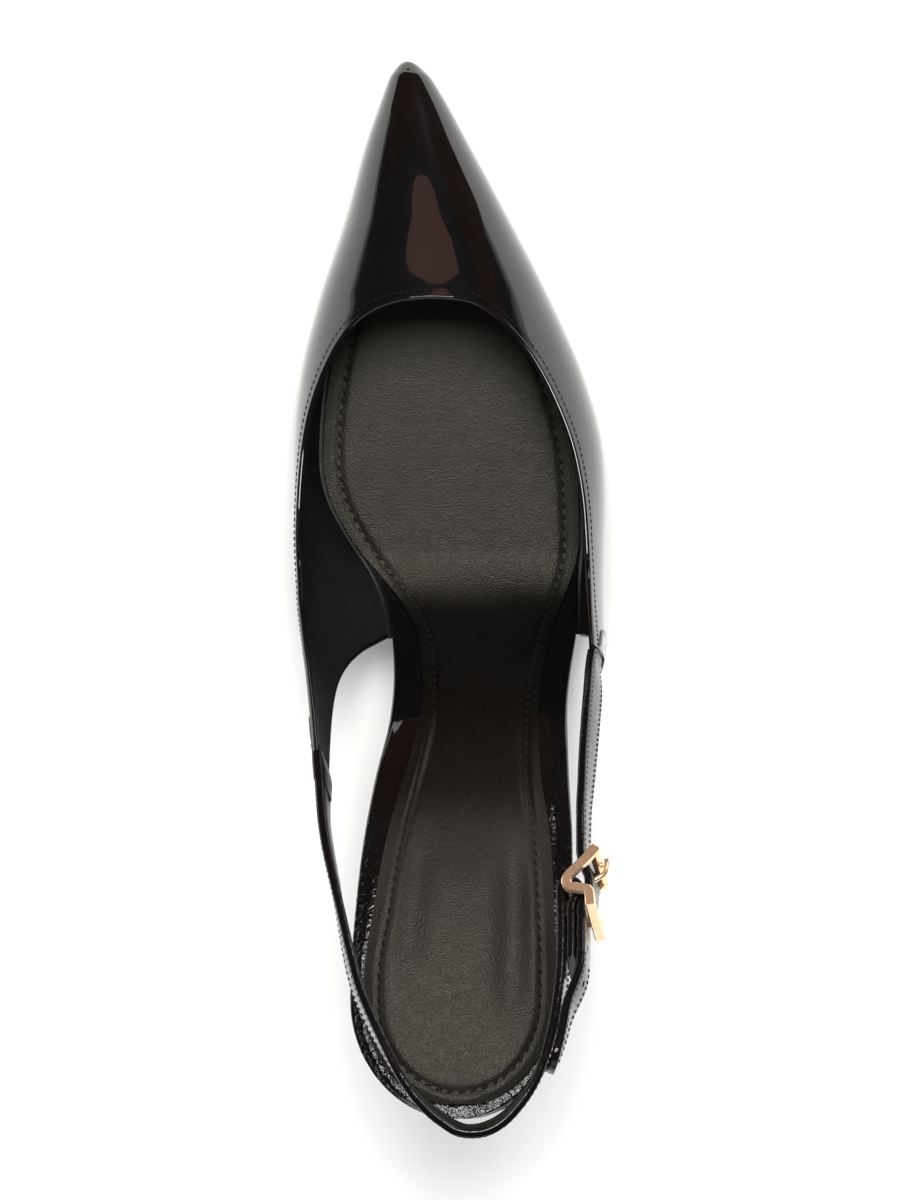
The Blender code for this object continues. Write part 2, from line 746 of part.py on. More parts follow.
def make_sling(surface, collection, cutters):
    """Strap from the inner quarter round the back, folded round the buckle's middle bar."""
    places = sling_frames()
    rings = [band_ring(spot, outward, upward, STRAP_WIDTH, STRAP) for spot, _, outward, upward in places]
    _, forward, outward, upward = places[-1]
    turns = 6
    for k in range(1, turns):
        turn = pi * k / turns
        ray = forward * sin(turn) - outward * cos(turn)
        middle = from_bar(0, 0, 0) + ray * fold_radius()
        rings.append(band_ring(middle, -ray, upward, STRAP_WIDTH, STRAP))
    steps = 8
    for k in range(steps + 1):
        distance = DOUBLED * k / steps
        spot, _, outward, upward = place_behind(places, distance)
        rings.append(band_ring(spot + outward * lap(distance), -outward, upward, STRAP_WIDTH, STRAP))
    sling = loft("sling_strap", rings, surface, collection)
    reach = fold_radius() + STRAP
    half_slot = PRONG + 1.5 * GAP
    slot = bmesh.new()
    bmesh.ops.create_cube(slot, size=1)
    for corner in slot.verts:
        along_by = reach * (1 if corner.co.x > 0 else -0.45)
        out_by = reach if corner.co.y > 0 else 0.0
        corner.co = from_bar(along_by, out_by, half_slot * 2 * corner.co.z)
    bmesh.ops.recalc_face_normals(slot, faces=slot.faces)
    mesh = bpy.data.meshes.new("prong_slot")
    slot.to_mesh(mesh)
    slot.free()
    join(sling, cutter("prong_slot", mesh, cutters), "DIFFERENCE")
    return sling


def bar_heights():
    """Distances outward from the middle bar to the buckle's front and rear bars, clear of the strap."""
    centre = from_bar(0, 0, 0)
    outward = sling_frames()[-1][2]
    clear = STRAP / 2 + RAIL_ROOM + RAIL
    front = (front_place(BUCKLE_REACH)[0] - centre).dot(outward) + clear
    rear = (tail_place(BUCKLE_BACK)[0] - centre).dot(outward) + clear
    return front, rear


def make_buckle_frame(surface, collection, cutters):
    """Bent slide frame: its middle bar sits inside the strap, its front and rear bars outside."""
    front, rear = bar_heights()
    half = STRAP_WIDTH / 2 + RAIL_ROOM + RAIL
    reach = BUCKLE_REACH
    back = BUCKLE_BACK
    bends = (
        (reach, front), (0.72 * reach, 0.68 * front), (0.44 * reach, 0.32 * front), (0.16 * reach, 0.0),
        (-0.17 * back, 0.0), (-0.30 * back, 0.45 * rear), (-0.46 * back, 0.92 * rear), (-back, rear),
    )
    top = [from_bar(a, n, half) for a, n in bends]
    bottom = [from_bar(a, n, -half) for a, n in reversed(bends)]
    frame = new_object("buckle_frame", tube("rails", top + bottom, RAIL, cutters, closed=True), surface, collection)
    middle = tube("middle_bar", [from_bar(0, 0, -half), from_bar(0, 0, half)], BAR, cutters)
    join(frame, cutter("middle_bar", middle, cutters), "UNION")
    return frame


def prong_line(start):
    """Middle line of the prong: from the bar, through the front strap, over the front bar."""
    front, _ = bar_heights()
    strap = front_place(PRONG_HOLE)[0] - from_bar(0, 0, 0)
    outward = sling_frames()[-1][2]
    through = strap.dot(outward)
    over = front + RAIL + GAP + PRONG
    points = (
        (0.0, start), (0.5 * PRONG_HOLE, 0.78 * through), (PRONG_HOLE, through + 0.5 * PRONG),
        (0.72 * BUCKLE_REACH, over - PRONG), (BUCKLE_REACH, over), (BUCKLE_REACH + PRONG_REACH, over),
    )
    return [from_bar(a, n, 0) for a, n in points]


def make_prong(surface, collection, cutters):
    """Prong from the middle bar to the front bar."""
    return new_object(
        "buckle_prong", tube("prong", prong_line(BAR + GAP + PRONG), PRONG, cutters), surface, collection)


def make_buckle_strap(surface, collection, cutters):
    """Front strap and its free end: from the tail forward, through the buckle, to the outer quarter."""
    rings = []
    steps = 18
    for k in range(steps):
        distance = TAIL * (1 - (k / steps) ** 1.2)
        spot, _, outward, upward = tail_place(distance)
        width = STRAP_WIDTH * closed_in(TAIL - distance + GAP, TAIL_ROUND)
        rings.append(band_ring(spot, outward, upward, width, STRAP))
    for spot, _, outward, upward in front_frames():
        rings.append(band_ring(spot, outward, upward, STRAP_WIDTH, STRAP))
    strap = loft("buckle_strap", rings, surface, collection)
    prong_hole = tube("prong_hole", prong_line(BAR), PRONG + GAP, cutters)
    join(strap, cutter("prong_hole", prong_hole, cutters), "DIFFERENCE")
    for behind in HOLES_BEHIND:
        distance = HOLE_PITCH * behind - PRONG_HOLE
        spot, _, outward, _ = tail_place(distance) if distance > 0 else front_place(-distance)
        hole = tube("strap_hole", [spot - outward * STRAP, spot + outward * STRAP], HOLE, cutters)
        join(strap, cutter(f"strap_hole_{behind}", hole, cutters), "DIFFERENCE")
    return strap


def main():
    for old in list(bpy.data.objects):
        bpy.data.objects.remove(old)
    parts = bpy.data.collections.new("slingback_pump")
    cutters = bpy.data.collections.new("cutters")
    for collection in (parts, cutters):
        bpy.context.scene.collection.children.link(collection)
    patent = material("patent", (0.006, 0.006, 0.007), 0.08)
    sole = material("sole", (0.02, 0.018, 0.016), 0.45)
    sock = material("sock", (0.03, 0.028, 0.028), 0.55)
    rubber = material("rubber", (0.012, 0.012, 0.012), 0.6)
    gold = material("gold", (0.75, 0.47, 0.20), 0.2, 1.0)
    make_outsole(sole, parts)
    make_board(patent, parts)
    make_sock(sock, parts)
    make_upper(patent, parts)
    make_heel(patent, parts)
    make_heel_tip(rubber, parts)
    make_sling(patent, parts, cutters)
    make_buckle_strap(patent, parts, cutters)
    make_buckle_frame(gold, parts, cutters)
    make_prong(gold, parts, cutters)


main()
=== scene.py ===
"""Dresses the right slingback pump: patent upper, straps and rim, padded sock, stitches and gold buckle."""

from bisect import bisect_right
from functools import lru_cache
from math import asin, cos, exp, pi, radians, sin, sqrt

import bmesh
import bpy
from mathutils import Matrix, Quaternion, Vector
from mathutils.kdtree import KDTree


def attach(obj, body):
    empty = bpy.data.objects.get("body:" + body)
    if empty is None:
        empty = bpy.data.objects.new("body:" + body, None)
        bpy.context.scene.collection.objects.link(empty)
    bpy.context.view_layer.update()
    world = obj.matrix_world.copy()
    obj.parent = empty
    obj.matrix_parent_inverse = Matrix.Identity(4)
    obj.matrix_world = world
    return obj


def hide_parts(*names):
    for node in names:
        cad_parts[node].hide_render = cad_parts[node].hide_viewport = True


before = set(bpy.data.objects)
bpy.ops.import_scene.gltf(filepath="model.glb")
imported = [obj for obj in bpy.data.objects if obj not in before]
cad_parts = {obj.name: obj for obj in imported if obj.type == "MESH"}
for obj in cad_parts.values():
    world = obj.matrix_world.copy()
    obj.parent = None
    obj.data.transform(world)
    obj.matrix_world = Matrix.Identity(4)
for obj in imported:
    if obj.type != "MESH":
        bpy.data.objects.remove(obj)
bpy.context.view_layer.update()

# Last: the form that the shoe is built on
LENGTH = 0.250
TOE_TO_TREAD = 0.1037
BALL_WIDTH = 0.076
INSTEP = 0.0345
HEEL_HEIGHT = 0.088
TOE_SPRING = 0.005
TOE_ROUND = 0.0042
NOSE_ROUND = 0.002
HEEL_ROUND = 0.0275

# Layers
WALL = 0.0015
OUTSOLE = 0.003
BOARD = 0.0028
SOCK = 0.0012
PAD = 0.0018
GAP = 0.0003
FEATHER_SET = 0.0022
RIM_WIDTH = 0.007
RIM_BACK = 0.0034
RIM_DROP = 0.0012
BOARD_EDGE = 0.9
BOARD_FRONT = 0.002
SOCK_FRONT = 0.004
SOCK_EDGE = 0.006
SOLE_EDGE = 0.004
WAIST_SET = 0.0035
WAIST_AT = 0.49
WAIST_RUN = 0.09
BREAST = 0.050

# Heel
SEAT_SET = 0.0015
SEAT_WIDTH = 0.048
TIP_HEIGHT = 0.006

# Straps
STRAP_WIDTH = 0.0095
STRAP = 0.002
LOOP_WIDTH = 0.697 * BALL_WIDTH
BACK_RISE = 0.045
DOUBLED = 0.019
TAIL = 0.0448
TAIL_ROUND = 0.004
LAP_RUN = 0.006
TAIL_RUN = 0.013
JOINT = 0.0013
HOLE_PITCH = 0.009
HOLE = 0.0008
HOLES_BEHIND = (-1, 1, 2, 3)

# Buckle
BAR = 0.0008
RAIL = 0.001
BUCKLE_REACH = 0.0082
BUCKLE_BACK = 0.0066
RAIL_ROOM = 0.0006
PRONG = 0.00065
PRONG_HOLE = 0.004
PRONG_REACH = 0.0015

UP = Vector((0, 0, 1))
CURVE_STEPS = 400


def table(heading, *rows):
    """Gives rows under a line of column names as named columns."""
    return dict(zip(heading.split(), zip(*rows)))


# Sole line in side view: toe spring and the rise to the heel seat, both as shares of their sizes
PROFILE = table(
    "at    spring rise",
    (0.00, 1.00, 0.000),
    (0.08, 0.56, 0.000),
    (0.16, 0.25, 0.000),
    (0.24, 0.06, 0.000),
    (0.32, 0.00, 0.000),
    (0.475, 0.00, 0.000),
    (0.505, 0.00, 0.022),
    (0.53, 0.00, 0.066),
    (0.56, 0.00, 0.153),
    (0.60, 0.00, 0.292),
    (0.64, 0.00, 0.427),
    (0.68, 0.00, 0.545),
    (0.72, 0.00, 0.643),
    (0.77, 0.00, 0.740),
    (0.83, 0.00, 0.829),
    (0.90, 0.00, 0.905),
    (1.00, 0.00, 1.000),
)

# Sections along the last. Across: feather edge and widest line of each side, and the ridge, in
# ball widths. Up, above the feather edge: widest line of each side and the ridge, in instep heights.
LAST = table(
    "at sole_in sole_out wide_in wide_out ridge in_up out_up ridge_up",
    (0.000, -0.166, -0.104, -0.173, -0.097, -0.135, 0.10, 0.10, 0.20),
    (0.030, -0.194, -0.054, -0.209, -0.033, -0.126, 0.14, 0.14, 0.36),
    (0.080, -0.238, 0.028, -0.267, 0.058, -0.112, 0.18, 0.18, 0.56),
    (0.155, -0.290, 0.148, -0.334, 0.190, -0.092, 0.24, 0.24, 0.79),
    (0.233, -0.364, 0.270, -0.418, 0.321, -0.066, 0.31, 0.29, 1.00),
    (0.310, -0.418, 0.374, -0.478, 0.430, -0.060, 0.40, 0.35, 1.22),
    (0.387, -0.436, 0.434, -0.499, 0.492, -0.056, 0.50, 0.41, 1.45),
    (0.426, -0.412, 0.442, -0.498, 0.497, -0.056, 0.60, 0.46, 1.57),
    (0.465, -0.344, 0.444, -0.494, 0.493, -0.056, 0.75, 0.52, 1.70),
    (0.503, -0.262, 0.436, -0.483, 0.490, -0.056, 0.89, 0.59, 1.82),
    (0.530, -0.228, 0.434, -0.475, 0.488, -0.056, 0.95, 0.65, 1.86),
    (0.560, -0.212, 0.428, -0.461, 0.486, -0.056, 1.00, 0.72, 1.87),
    (0.597, -0.206, 0.408, -0.443, 0.470, -0.056, 1.03, 0.82, 1.82),
    (0.634, -0.216, 0.396, -0.428, 0.450, -0.050, 1.06, 0.92, 1.78),
    (0.690, -0.260, 0.398, -0.410, 0.424, -0.030, 1.12, 1.02, 1.72),
    (0.750, -0.296, 0.406, -0.400, 0.420, 0.000, 1.12, 1.02, 1.70),
    (0.810, -0.318, 0.402, -0.390, 0.410, 0.020, 1.12, 1.02, 1.70),
    (0.875, -0.332, 0.390, -0.390, 0.400, 0.028, 1.12, 1.02, 1.70),
    (1.000, -0.334, 0.384, -0.390, 0.400, 0.028, 1.12, 1.02, 1.70),
)

# Rim of the board beside the sock, in rim widths, and the sock's padding, in pads
RIM = table(
    "at rim pad",
    (0.00, 0.03, 0.00),
    (0.46, 0.03, 0.00),
    (0.50, 0.22, 0.00),
    (0.53, 0.62, 0.00),
    (0.56, 0.92, 0.00),
    (0.61, 1.00, 0.00),
    (0.67, 0.98, 0.15),
    (0.73, 0.80, 0.55),
    (0.80, 0.62, 1.00),
    (0.87, 0.46, 1.00),
    (1.00, 0.46, 0.80),
)

# Topline from the throat's middle: share of the length, and share of the way from feather to ridge
TOPLINE_IN = (
    (0.2335, 1.000), (0.2352, 0.935), (0.2400, 0.875), (0.2475, 0.824), (0.2590, 0.776),
    (0.2780, 0.732), (0.3050, 0.690), (0.3400, 0.650), (0.3800, 0.617), (0.4210, 0.590),
    (0.4650, 0.566), (0.5100, 0.543), (0.5520, 0.517), (0.5950, 0.492), (0.6320, 0.478), (0.6630, 0.472),
)
TOPLINE_OUT = (
    (0.2335, 1.000), (0.2345, 0.935), (0.2390, 0.882), (0.2475, 0.846), (0.2600, 0.810),
    (0.2820, 0.768), (0.3120, 0.735), (0.3450, 0.711), (0.3800, 0.690), (0.4200, 0.668),
    (0.4600, 0.650), (0.5000, 0.638), (0.5350, 0.630), (0.5650, 0.620),
)

# Rear edge of each quarter, from the feather up to the strap
CUT_IN = (
    (0.5600, 0.000), (0.5645, 0.030), (0.5730, 0.090), (0.5860, 0.155), (0.6010, 0.208),
    (0.6190, 0.245), (0.6400, 0.272), (0.6640, 0.292), (0.6900, 0.308),
)
CUT_OUT = (
    (0.5560, 0.000), (0.5570, 0.090), (0.5590, 0.180), (0.5635, 0.270), (0.5730, 0.350), (0.5905, 0.422),
)

# Columns of the wall: from the toe to the throat, along the topline, and along the cut-out
TOE_COLUMNS = 13
SIDE_COLUMNS = {"in": 13, "out": 13}
CUT_COLUMNS = {"in": 10, "out": 6}
WALL_ROWS = 12
TOE_CROWD = 1.7
TOE_FOOT = 0.205
SIDE_PART = {"in": 11, "out": 11}
TOPLINE = {"in": TOPLINE_IN, "out": TOPLINE_OUT}
CUT = {"in": CUT_IN, "out": CUT_OUT}

# Sling strap's middle line from the inner quarter to the buckle: share of the length, distance
# across in loop widths, height from the inner quarter (0) to the back (1), and the top's lean out
SLING = table(
    "at across up lean",
    (0.7190, -0.548, 0.180, 6),
    (0.7480, -0.528, 0.295, 4),
    (0.7760, -0.500, 0.400, 1),
    (0.8040, -0.471, 0.495, -3),
    (0.8470, -0.426, 0.630, -8),
    (0.8780, -0.381, 0.720, -10),
    (0.9170, -0.292, 0.825, -8),
    (0.9510, -0.196, 0.905, -3),
    (0.9770, -0.085, 0.960, 2),
    (0.9950, 0.065, 1.000, 5),
    (0.9870, 0.208, 0.985, 4),
    (0.9600, 0.330, 0.935, 0),
    (0.9350, 0.392, 0.875, -4),
    (0.9060, 0.437, 0.800, -8),
    (0.8780, 0.465, 0.715, -10),
    (0.8520, 0.480, 0.627, -10),
    (0.8210, 0.486, 0.519, -10),
    (0.7950, 0.486, 0.424, -10),
)

# Front strap's middle line from the buckle forward to the outer quarter, in the same measures
FRONT = table(
    "at across up lean",
    (0.7550, 0.580, 0.282, -10),
    (0.7200, 0.580, 0.160, -13),
    (0.6900, 0.592, 0.042, -17),
    (0.6600, 0.606, -0.085, -20),
    (0.6300, 0.621, -0.215, -21),
    (0.6030, 0.634, -0.345, -20),
)

# Heel sections: height above the tip, half width, front and back, as shares of the seat, and fullness
HEEL = table(
    "up half front back full",
    (0.00, 0.235, 0.575, 0.790, 2.3),
    (0.12, 0.238, 0.572, 0.794, 2.3),
    (0.28, 0.248, 0.560, 0.803, 2.3),
    (0.45, 0.272, 0.535, 0.820, 2.3),
    (0.60, 0.320, 0.485, 0.845, 2.3),
    (0.72, 0.400, 0.405, 0.872, 2.4),
    (0.82, 0.525, 0.300, 0.905, 2.5),
    (0.90, 0.690, 0.180, 0.940, 2.7),
    (0.96, 0.870, 0.070, 0.975, 2.9),
    (1.00, 1.000, 0.000, 1.000, 3.0),
)


def slope_at(xs, ys, k):
    """Slope of the curve through a row, flat at peaks and never steep enough to overshoot."""
    last = len(xs) - 1
    if k in (0, last):
        a = min(k, last - 1)
        return (ys[a + 1] - ys[a]) / (xs[a + 1] - xs[a])
    before = xs[k] - xs[k - 1]
    after = xs[k + 1] - xs[k]
    rise_before = (ys[k] - ys[k - 1]) / before
    rise_after = (ys[k + 1] - ys[k]) / after
    if rise_before * rise_after <= 0:
        return 0.0
    middle = (rise_before * after + rise_after * before) / (before + after)
    limit = 2 * min(abs(rise_before), abs(rise_after))
    return max(-limit, min(limit, middle))


def read(rows, name, at, key="at"):
    """Reads a column on the smooth curve through its rows."""
    xs = rows[key]
    ys = rows[name]
    at = min(max(at, xs[0]), xs[-1])
    k = min(bisect_right(xs, at) - 1, len(xs) - 2)
    run = xs[k + 1] - xs[k]
    u = (at - xs[k]) / run
    return (
        (1 + 2 * u) * (1 - u) ** 2 * ys[k]
        + u * (1 - u) ** 2 * run * slope_at(xs, ys, k)
        + u * u * (3 - 2 * u) * ys[k + 1]
        + u * u * (u - 1) * run * slope_at(xs, ys, k + 1)
    )


def spline(points, share):
    """Point at a share of the way along a smooth curve through evenly counted points."""
    place = share * (len(points) - 1)
    k = min(int(place), len(points) - 2)
    u = place - k
    a = points[max(k - 1, 0)]
    b = points[k]
    c = points[k + 1]
    d = points[min(k + 2, len(points) - 1)]
    return tuple(
        0.5 * (2 * q + (r - p) * u + (2 * p - 5 * q + 4 * r - s) * u * u + (3 * q - p - 3 * r + s) * u ** 3)
        for p, q, r, s in zip(a, b, c, d)
    )


def blend(share):
    """Soft step from 0 to 1."""
    share = min(max(share, 0.0), 1.0)
    return share * share * (3 - 2 * share)


def closed_in(distance, reach):
    """Share of the full width left at a distance from a rounded end."""
    if distance >= reach:
        return 1.0
    return sqrt(max(0.0, 1 - (1 - distance / reach) ** 2))


def along(share):
    """Y of a share of the length."""
    return TOE_TO_TREAD - LENGTH * share


def feather_level(share):
    """Height of the feather line, where the upper and the board meet the sole."""
    low = OUTSOLE + GAP
    spring = TOE_SPRING * read(PROFILE, "spring", share)
    return low + spring + (HEEL_HEIGHT - low) * read(PROFILE, "rise", share)


def upright(share, thickness):
    """Height that a layer takes up where the sole line slopes."""
    step = 0.004
    before = max(share - step, 0.0)
    after = min(share + step, 1.0)
    slope = (feather_level(after) - feather_level(before)) / ((after - before) * LENGTH)
    return thickness * sqrt(1 + slope ** 2)


def across(name, share):
    """X of a line of the last, drawn in to the toe's rounded tip."""
    ridge = read(LAST, "ridge", share)
    reach = closed_in(share * LENGTH, TOE_ROUND)
    return BALL_WIDTH * (ridge + reach * (read(LAST, name, share) - ridge))


def upper_point(side, share, turn):
    """Point outside on the upper. Turn runs from the feather (0) by the widest line to the ridge (1)."""
    base = feather_level(share)
    wide_up = base + INSTEP * read(LAST, side + "_up", share)
    ridge_up = base + INSTEP * read(LAST, "ridge_up", share)
    sole = across("sole_" + side, share)
    wide = across("wide_" + side, share)
    ridge = BALL_WIDTH * read(LAST, "ridge", share)
    fullness = 0.56
    if turn <= 0.5:
        u = 2 * turn
        x = (1 - u) ** 2 * sole + (1 - (1 - u) ** 2) * wide
        z = base + u * (wide_up - base)
    else:
        u = 2 * turn - 1
        start = (1 - u) ** 3 + 3 * u * (1 - u) ** 2
        bend = 3 * u * u * (1 - u)
        x = start * wide + bend * (ridge + fullness * (wide - ridge)) + u ** 3 * ridge
        z = start * wide_up + 3 * u * (1 - u) ** 2 * fullness * (ridge_up - wide_up)
        z += (bend + u ** 3) * ridge_up
    nose = max(0.0, 1 - share * LENGTH / TOE_ROUND) ** 2
    return Vector((x, along(share) - NOSE_ROUND * nose * (1 - sin(pi * turn)), z))


def upper_columns(side, fine):
    """Foot and head of each line of the wall, as shares of the length and of the turn."""
    topline = TOPLINE[side]
    cut = CUT[side]
    throat = topline[0][0]
    part = SIDE_PART[side] / (len(topline) - 1)
    columns = []
    for k in range(TOE_COLUMNS * fine):
        share = (k / (TOE_COLUMNS * fine)) ** TOE_CROWD
        columns.append(((share * TOE_FOOT, 0.0), (share * throat, 1.0)))
    for k in range(SIDE_COLUMNS[side] * fine):
        share = k / (SIDE_COLUMNS[side] * fine)
        foot = TOE_FOOT + share * (cut[0][0] - TOE_FOOT)
        columns.append(((foot, 0.0), spline(topline, share * part)))
    for k in range(CUT_COLUMNS[side] * fine + 1):
        share = k / (CUT_COLUMNS[side] * fine)
        columns.append((spline(cut, share), spline(topline, part + share * (1 - part))))
    return columns


def outline(share, set_in, start, end, end_round):
    """Inner and outer X of a layer set in from the feather line, rounded at its start and end."""
    reach = closed_in((share - start) * LENGTH, TOE_ROUND) * closed_in((end - share) * LENGTH, end_round)
    middle = BALL_WIDTH * read(LAST, "ridge", share)
    inner = BALL_WIDTH * read(LAST, "sole_in", share) + set_in
    outer = BALL_WIDTH * read(LAST, "sole_out", share) - set_in
    return middle + reach * (inner - middle), middle + reach * (outer - middle)


def stations(start, end, count, ends=0.0004):
    """Shares of the length that crowd towards both rounded ends."""
    first = start + ends / LENGTH
    last = end - ends / LENGTH
    return [first + (last - first) * (1 - cos(pi * k / count)) / 2 for k in range(count + 1)]


def board_top(share):
    """Height of the board's upper face along its middle."""
    return feather_level(share) + upright(share, BOARD)


def heel_ring(half, front, back, full, count=10):
    """D-shaped outline in plan, from its inner front corner by the back to its outer front corner."""
    seat_front = along(1.0) + BREAST
    y_front = seat_front - front * (BREAST - SEAT_SET)
    y_back = seat_front - back * (BREAST - SEAT_SET)
    middle = BALL_WIDTH * read(LAST, "ridge", 1.0)
    points = []
    for k in range(2 * count + 1):
        turn = pi * k / (2 * count)
        side = abs(cos(turn)) ** (2 / full)
        x = middle - half * SEAT_WIDTH / 2 * side * (1 if turn < pi / 2 else -1)
        if k == count:
            x = middle
        points.append((x, y_front + (y_back - y_front) * sin(turn) ** (2 / full)))
    return points


def quarter_end(side):
    """Middle of a quarter's strap end, half a strap's thickness inside its outer face, and its lean."""
    low = upper_point(side, *CUT[side][-1])
    high = upper_point(side, *TOPLINE[side][-1])
    inward = 1 if side == "in" else -1
    outward_tilt = asin((high.x - low.x) * -inward / (high - low).length)
    middle = (low + high) / 2 + Vector((inward * STRAP / 2, 0, 0))
    return middle, outward_tilt


def strap_axes(forward, lean):
    """Outward and upward directions of a band that runs round the foot."""
    side = forward.cross(UP).normalized()
    rise = side.cross(forward).normalized()
    outward = side * cos(lean) - rise * sin(lean)
    upward = rise * cos(lean) + side * sin(lean)
    return outward, upward


def path_points(rows, base, height):
    """Points and leans of a strap table."""
    points = []
    for share, x, up, lean in zip(rows["at"], rows["across"], rows["up"], rows["lean"]):
        points.append((x * LOOP_WIDTH, along(share), base + up * height, radians(lean)))
    return points


def frames(points, count):
    """Evenly spaced places on a smooth curve: position, forward, outward and upward directions."""
    dense = [spline(points, k / CURVE_STEPS) for k in range(CURVE_STEPS + 1)]
    spots = [Vector(p[:3]) for p in dense]
    run = [0.0]
    for a, b in zip(spots, spots[1:]):
        run.append(run[-1] + (b - a).length)
    made = []
    for k in range(count + 1):
        goal = run[-1] * k / count
        i = min(max(bisect_right(run, goal) - 1, 0), len(run) - 2)
        share = (goal - run[i]) / (run[i + 1] - run[i])
        forward = (spots[min(i + 3, CURVE_STEPS)] - spots[max(i - 3, 0)]).normalized()
        lean = dense[i][3] + share * (dense[i + 1][3] - dense[i][3])
        outward, upward = strap_axes(forward, lean)
        made.append((spots[i].lerp(spots[i + 1], share), forward, outward, upward))
    return made


@lru_cache(maxsize=None)
def sling_frames():
    """Places along the sling strap, from the inner quarter to the buckle's middle bar."""
    start, lean = quarter_end("in")
    height = feather_level(1.0) + BACK_RISE - start.z
    points = path_points(SLING, start.z, height)
    rise = Vector(points[0][:3]) - start
    start = start + rise.normalized() * JOINT
    return frames([(*start, lean)] + points, 40)


def fold_radius():
    """Radius of the sling strap's middle where it folds round the bar."""
    return BAR + GAP + STRAP / 2


def from_bar(forward_by, outward_by, upward_by):
    """Point at distances from the middle of the buckle's bar."""
    spot, forward, outward, upward = sling_frames()[-1]
    centre = spot + outward * fold_radius()
    return centre + forward * forward_by + outward * outward_by + upward * upward_by


def lap(distance):
    """Distance between the middles of the sling strap's two layers, behind the bar."""
    closed = STRAP + GAP
    return closed + (2 * fold_radius() - closed) * (1 - blend(distance / LAP_RUN))


def place_behind(places, distance):
    """Place on a path at a distance back from its end."""
    left = distance
    for later, earlier in zip(places[::-1], places[-2::-1]):
        step = (later[0] - earlier[0]).length
        if left <= step:
            share = left / step
            return tuple(a.lerp(b, share) for a, b in zip(later, earlier))
        left -= step
    return places[0]


def tail_place(distance):
    """Place in the free end, at a distance behind the buckle's bar: on top of the sling strap's layers."""
    spot, forward, outward, upward = place_behind(sling_frames(), distance)
    layer = STRAP + GAP
    stack = lap(distance) + layer - layer * blend((distance - DOUBLED) / TAIL_RUN)
    return spot + outward * stack, forward, outward, upward


@lru_cache(maxsize=None)
def front_frames():
    """Places along the front strap, from the buckle's bar forward to the outer quarter."""
    start, _ = quarter_end("in")
    height = feather_level(1.0) + BACK_RISE - start.z
    leave, forward, _, _ = tail_place(0.0)
    lean_here = radians(SLING["lean"][-1])
    ahead = leave + forward * PRONG_HOLE
    end, lean = quarter_end("out")
    points = path_points(FRONT, start.z, height)
    last = Vector(points[-1][:3])
    end = end + (last - end).normalized() * JOINT
    return frames([(*leave, lean_here), (*ahead, lean_here)] + points + [(*end, lean)], 28)


def front_place(distance):
    """Place in the front strap, at a distance ahead of the buckle's bar."""
    return place_behind(front_frames()[::-1], distance)


def bar_heights():
    """Distances outward from the middle bar to the buckle's front and rear bars, clear of the strap."""
    centre = from_bar(0, 0, 0)
    outward = sling_frames()[-1][2]
    clear = STRAP / 2 + RAIL_ROOM + RAIL
    front = (front_place(BUCKLE_REACH)[0] - centre).dot(outward) + clear
    rear = (tail_place(BUCKLE_BACK)[0] - centre).dot(outward) + clear
    return front, rear


def prong_line(start):
    """Middle line of the prong: from the bar, through the front strap, over the front bar."""
    front, _ = bar_heights()
    strap = front_place(PRONG_HOLE)[0] - from_bar(0, 0, 0)
    outward = sling_frames()[-1][2]
    through = strap.dot(outward)
    over = front + RAIL + GAP + PRONG
    points = (
        (0.0, start), (0.5 * PRONG_HOLE, 0.78 * through), (PRONG_HOLE, through + 0.5 * PRONG),
        (0.72 * BUCKLE_REACH, over - PRONG), (BUCKLE_REACH, over), (BUCKLE_REACH + PRONG_REACH, over),
    )
    return [from_bar(a, n, 0) for a, n in points]


# Finer sampling and small details of the dressed pieces
FINE = 4
SMOOTHING_PASSES = 8
TIP_PASSES = 10
ROLL_DROP = 0.0002
SOCK_STEPS = 84
BAND_SOFT = 0.0006
EDGE_ROLL = 0.00078
EDGE_STITCH = 0.0017
FINE_PITCH = 0.0016
SEAM_PITCH = 0.0027
SEAM_DEPTH = 0.0006
SEAM_HALF = 0.0009
STRAP_SEAM = 0.0013
STRAP_PITCH = 0.0016
APEX_REACH = 8
APEX_PASSES = 12
FLANGE = 0.006
FLANGE_FROM = 0.06
FLANGE_STEPS = 60
LAP_PROUD = 0.00035
LAP_THICK = 0.0008
TAB = 0.0060
TAB_PROUD = 0.0003
LAP_STEPS = 12
SMOOTH_RUN = 0.006
LAP_BACK = {"in": (0.150, 0.080), "out": (0.170, 0.060)}  # shares of the cut-out's and the topline's run
LAP_LENGTH = 0.008
LAP_END = 0.0006
LAP_ROUND = 0.002
TIP_ZONE = 0.0035
TIP_MERGE = 0.00035
TAIL_SEWN = TAIL - 0.003
RAIL_FLAT = 0.00115
RAIL_THIN = 0.0008
RAIL_SOFT = 0.00025
STITCH_SLANT = 0.35
WAIST_EDGES = ((-0.018, -0.034), (-0.088, -0.068))  # Y from loose to tight sock leather, front and back

# The pad's two soft hollows: depth, share of the length and its run, share across and its run
HOLLOWS = ((0.90, 0.828, 0.075, 0.55, 0.19), (0.50, 0.805, 0.055, -0.56, 0.17))


def collection_of(name):
    """New collection in the scene."""
    made = bpy.data.collections.new(name)
    bpy.context.scene.collection.children.link(made)
    return made


PIECES = collection_of("dressed")


def mesh_of(shape, name):
    """Mesh of a finished bmesh, which is freed."""
    made = bpy.data.meshes.new(name)
    shape.to_mesh(made)
    shape.free()
    return made


def new_piece(name, mesh, *surfaces, sharp=50):
    """Puts a mesh in the scene as a smooth shaded piece."""
    made = bpy.data.objects.new(name, mesh)
    PIECES.objects.link(made)
    for surface in surfaces:
        mesh.materials.append(surface)
    mesh.shade_smooth()
    mesh.set_sharp_from_angle(angle=radians(sharp))
    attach(made, "root")
    return made


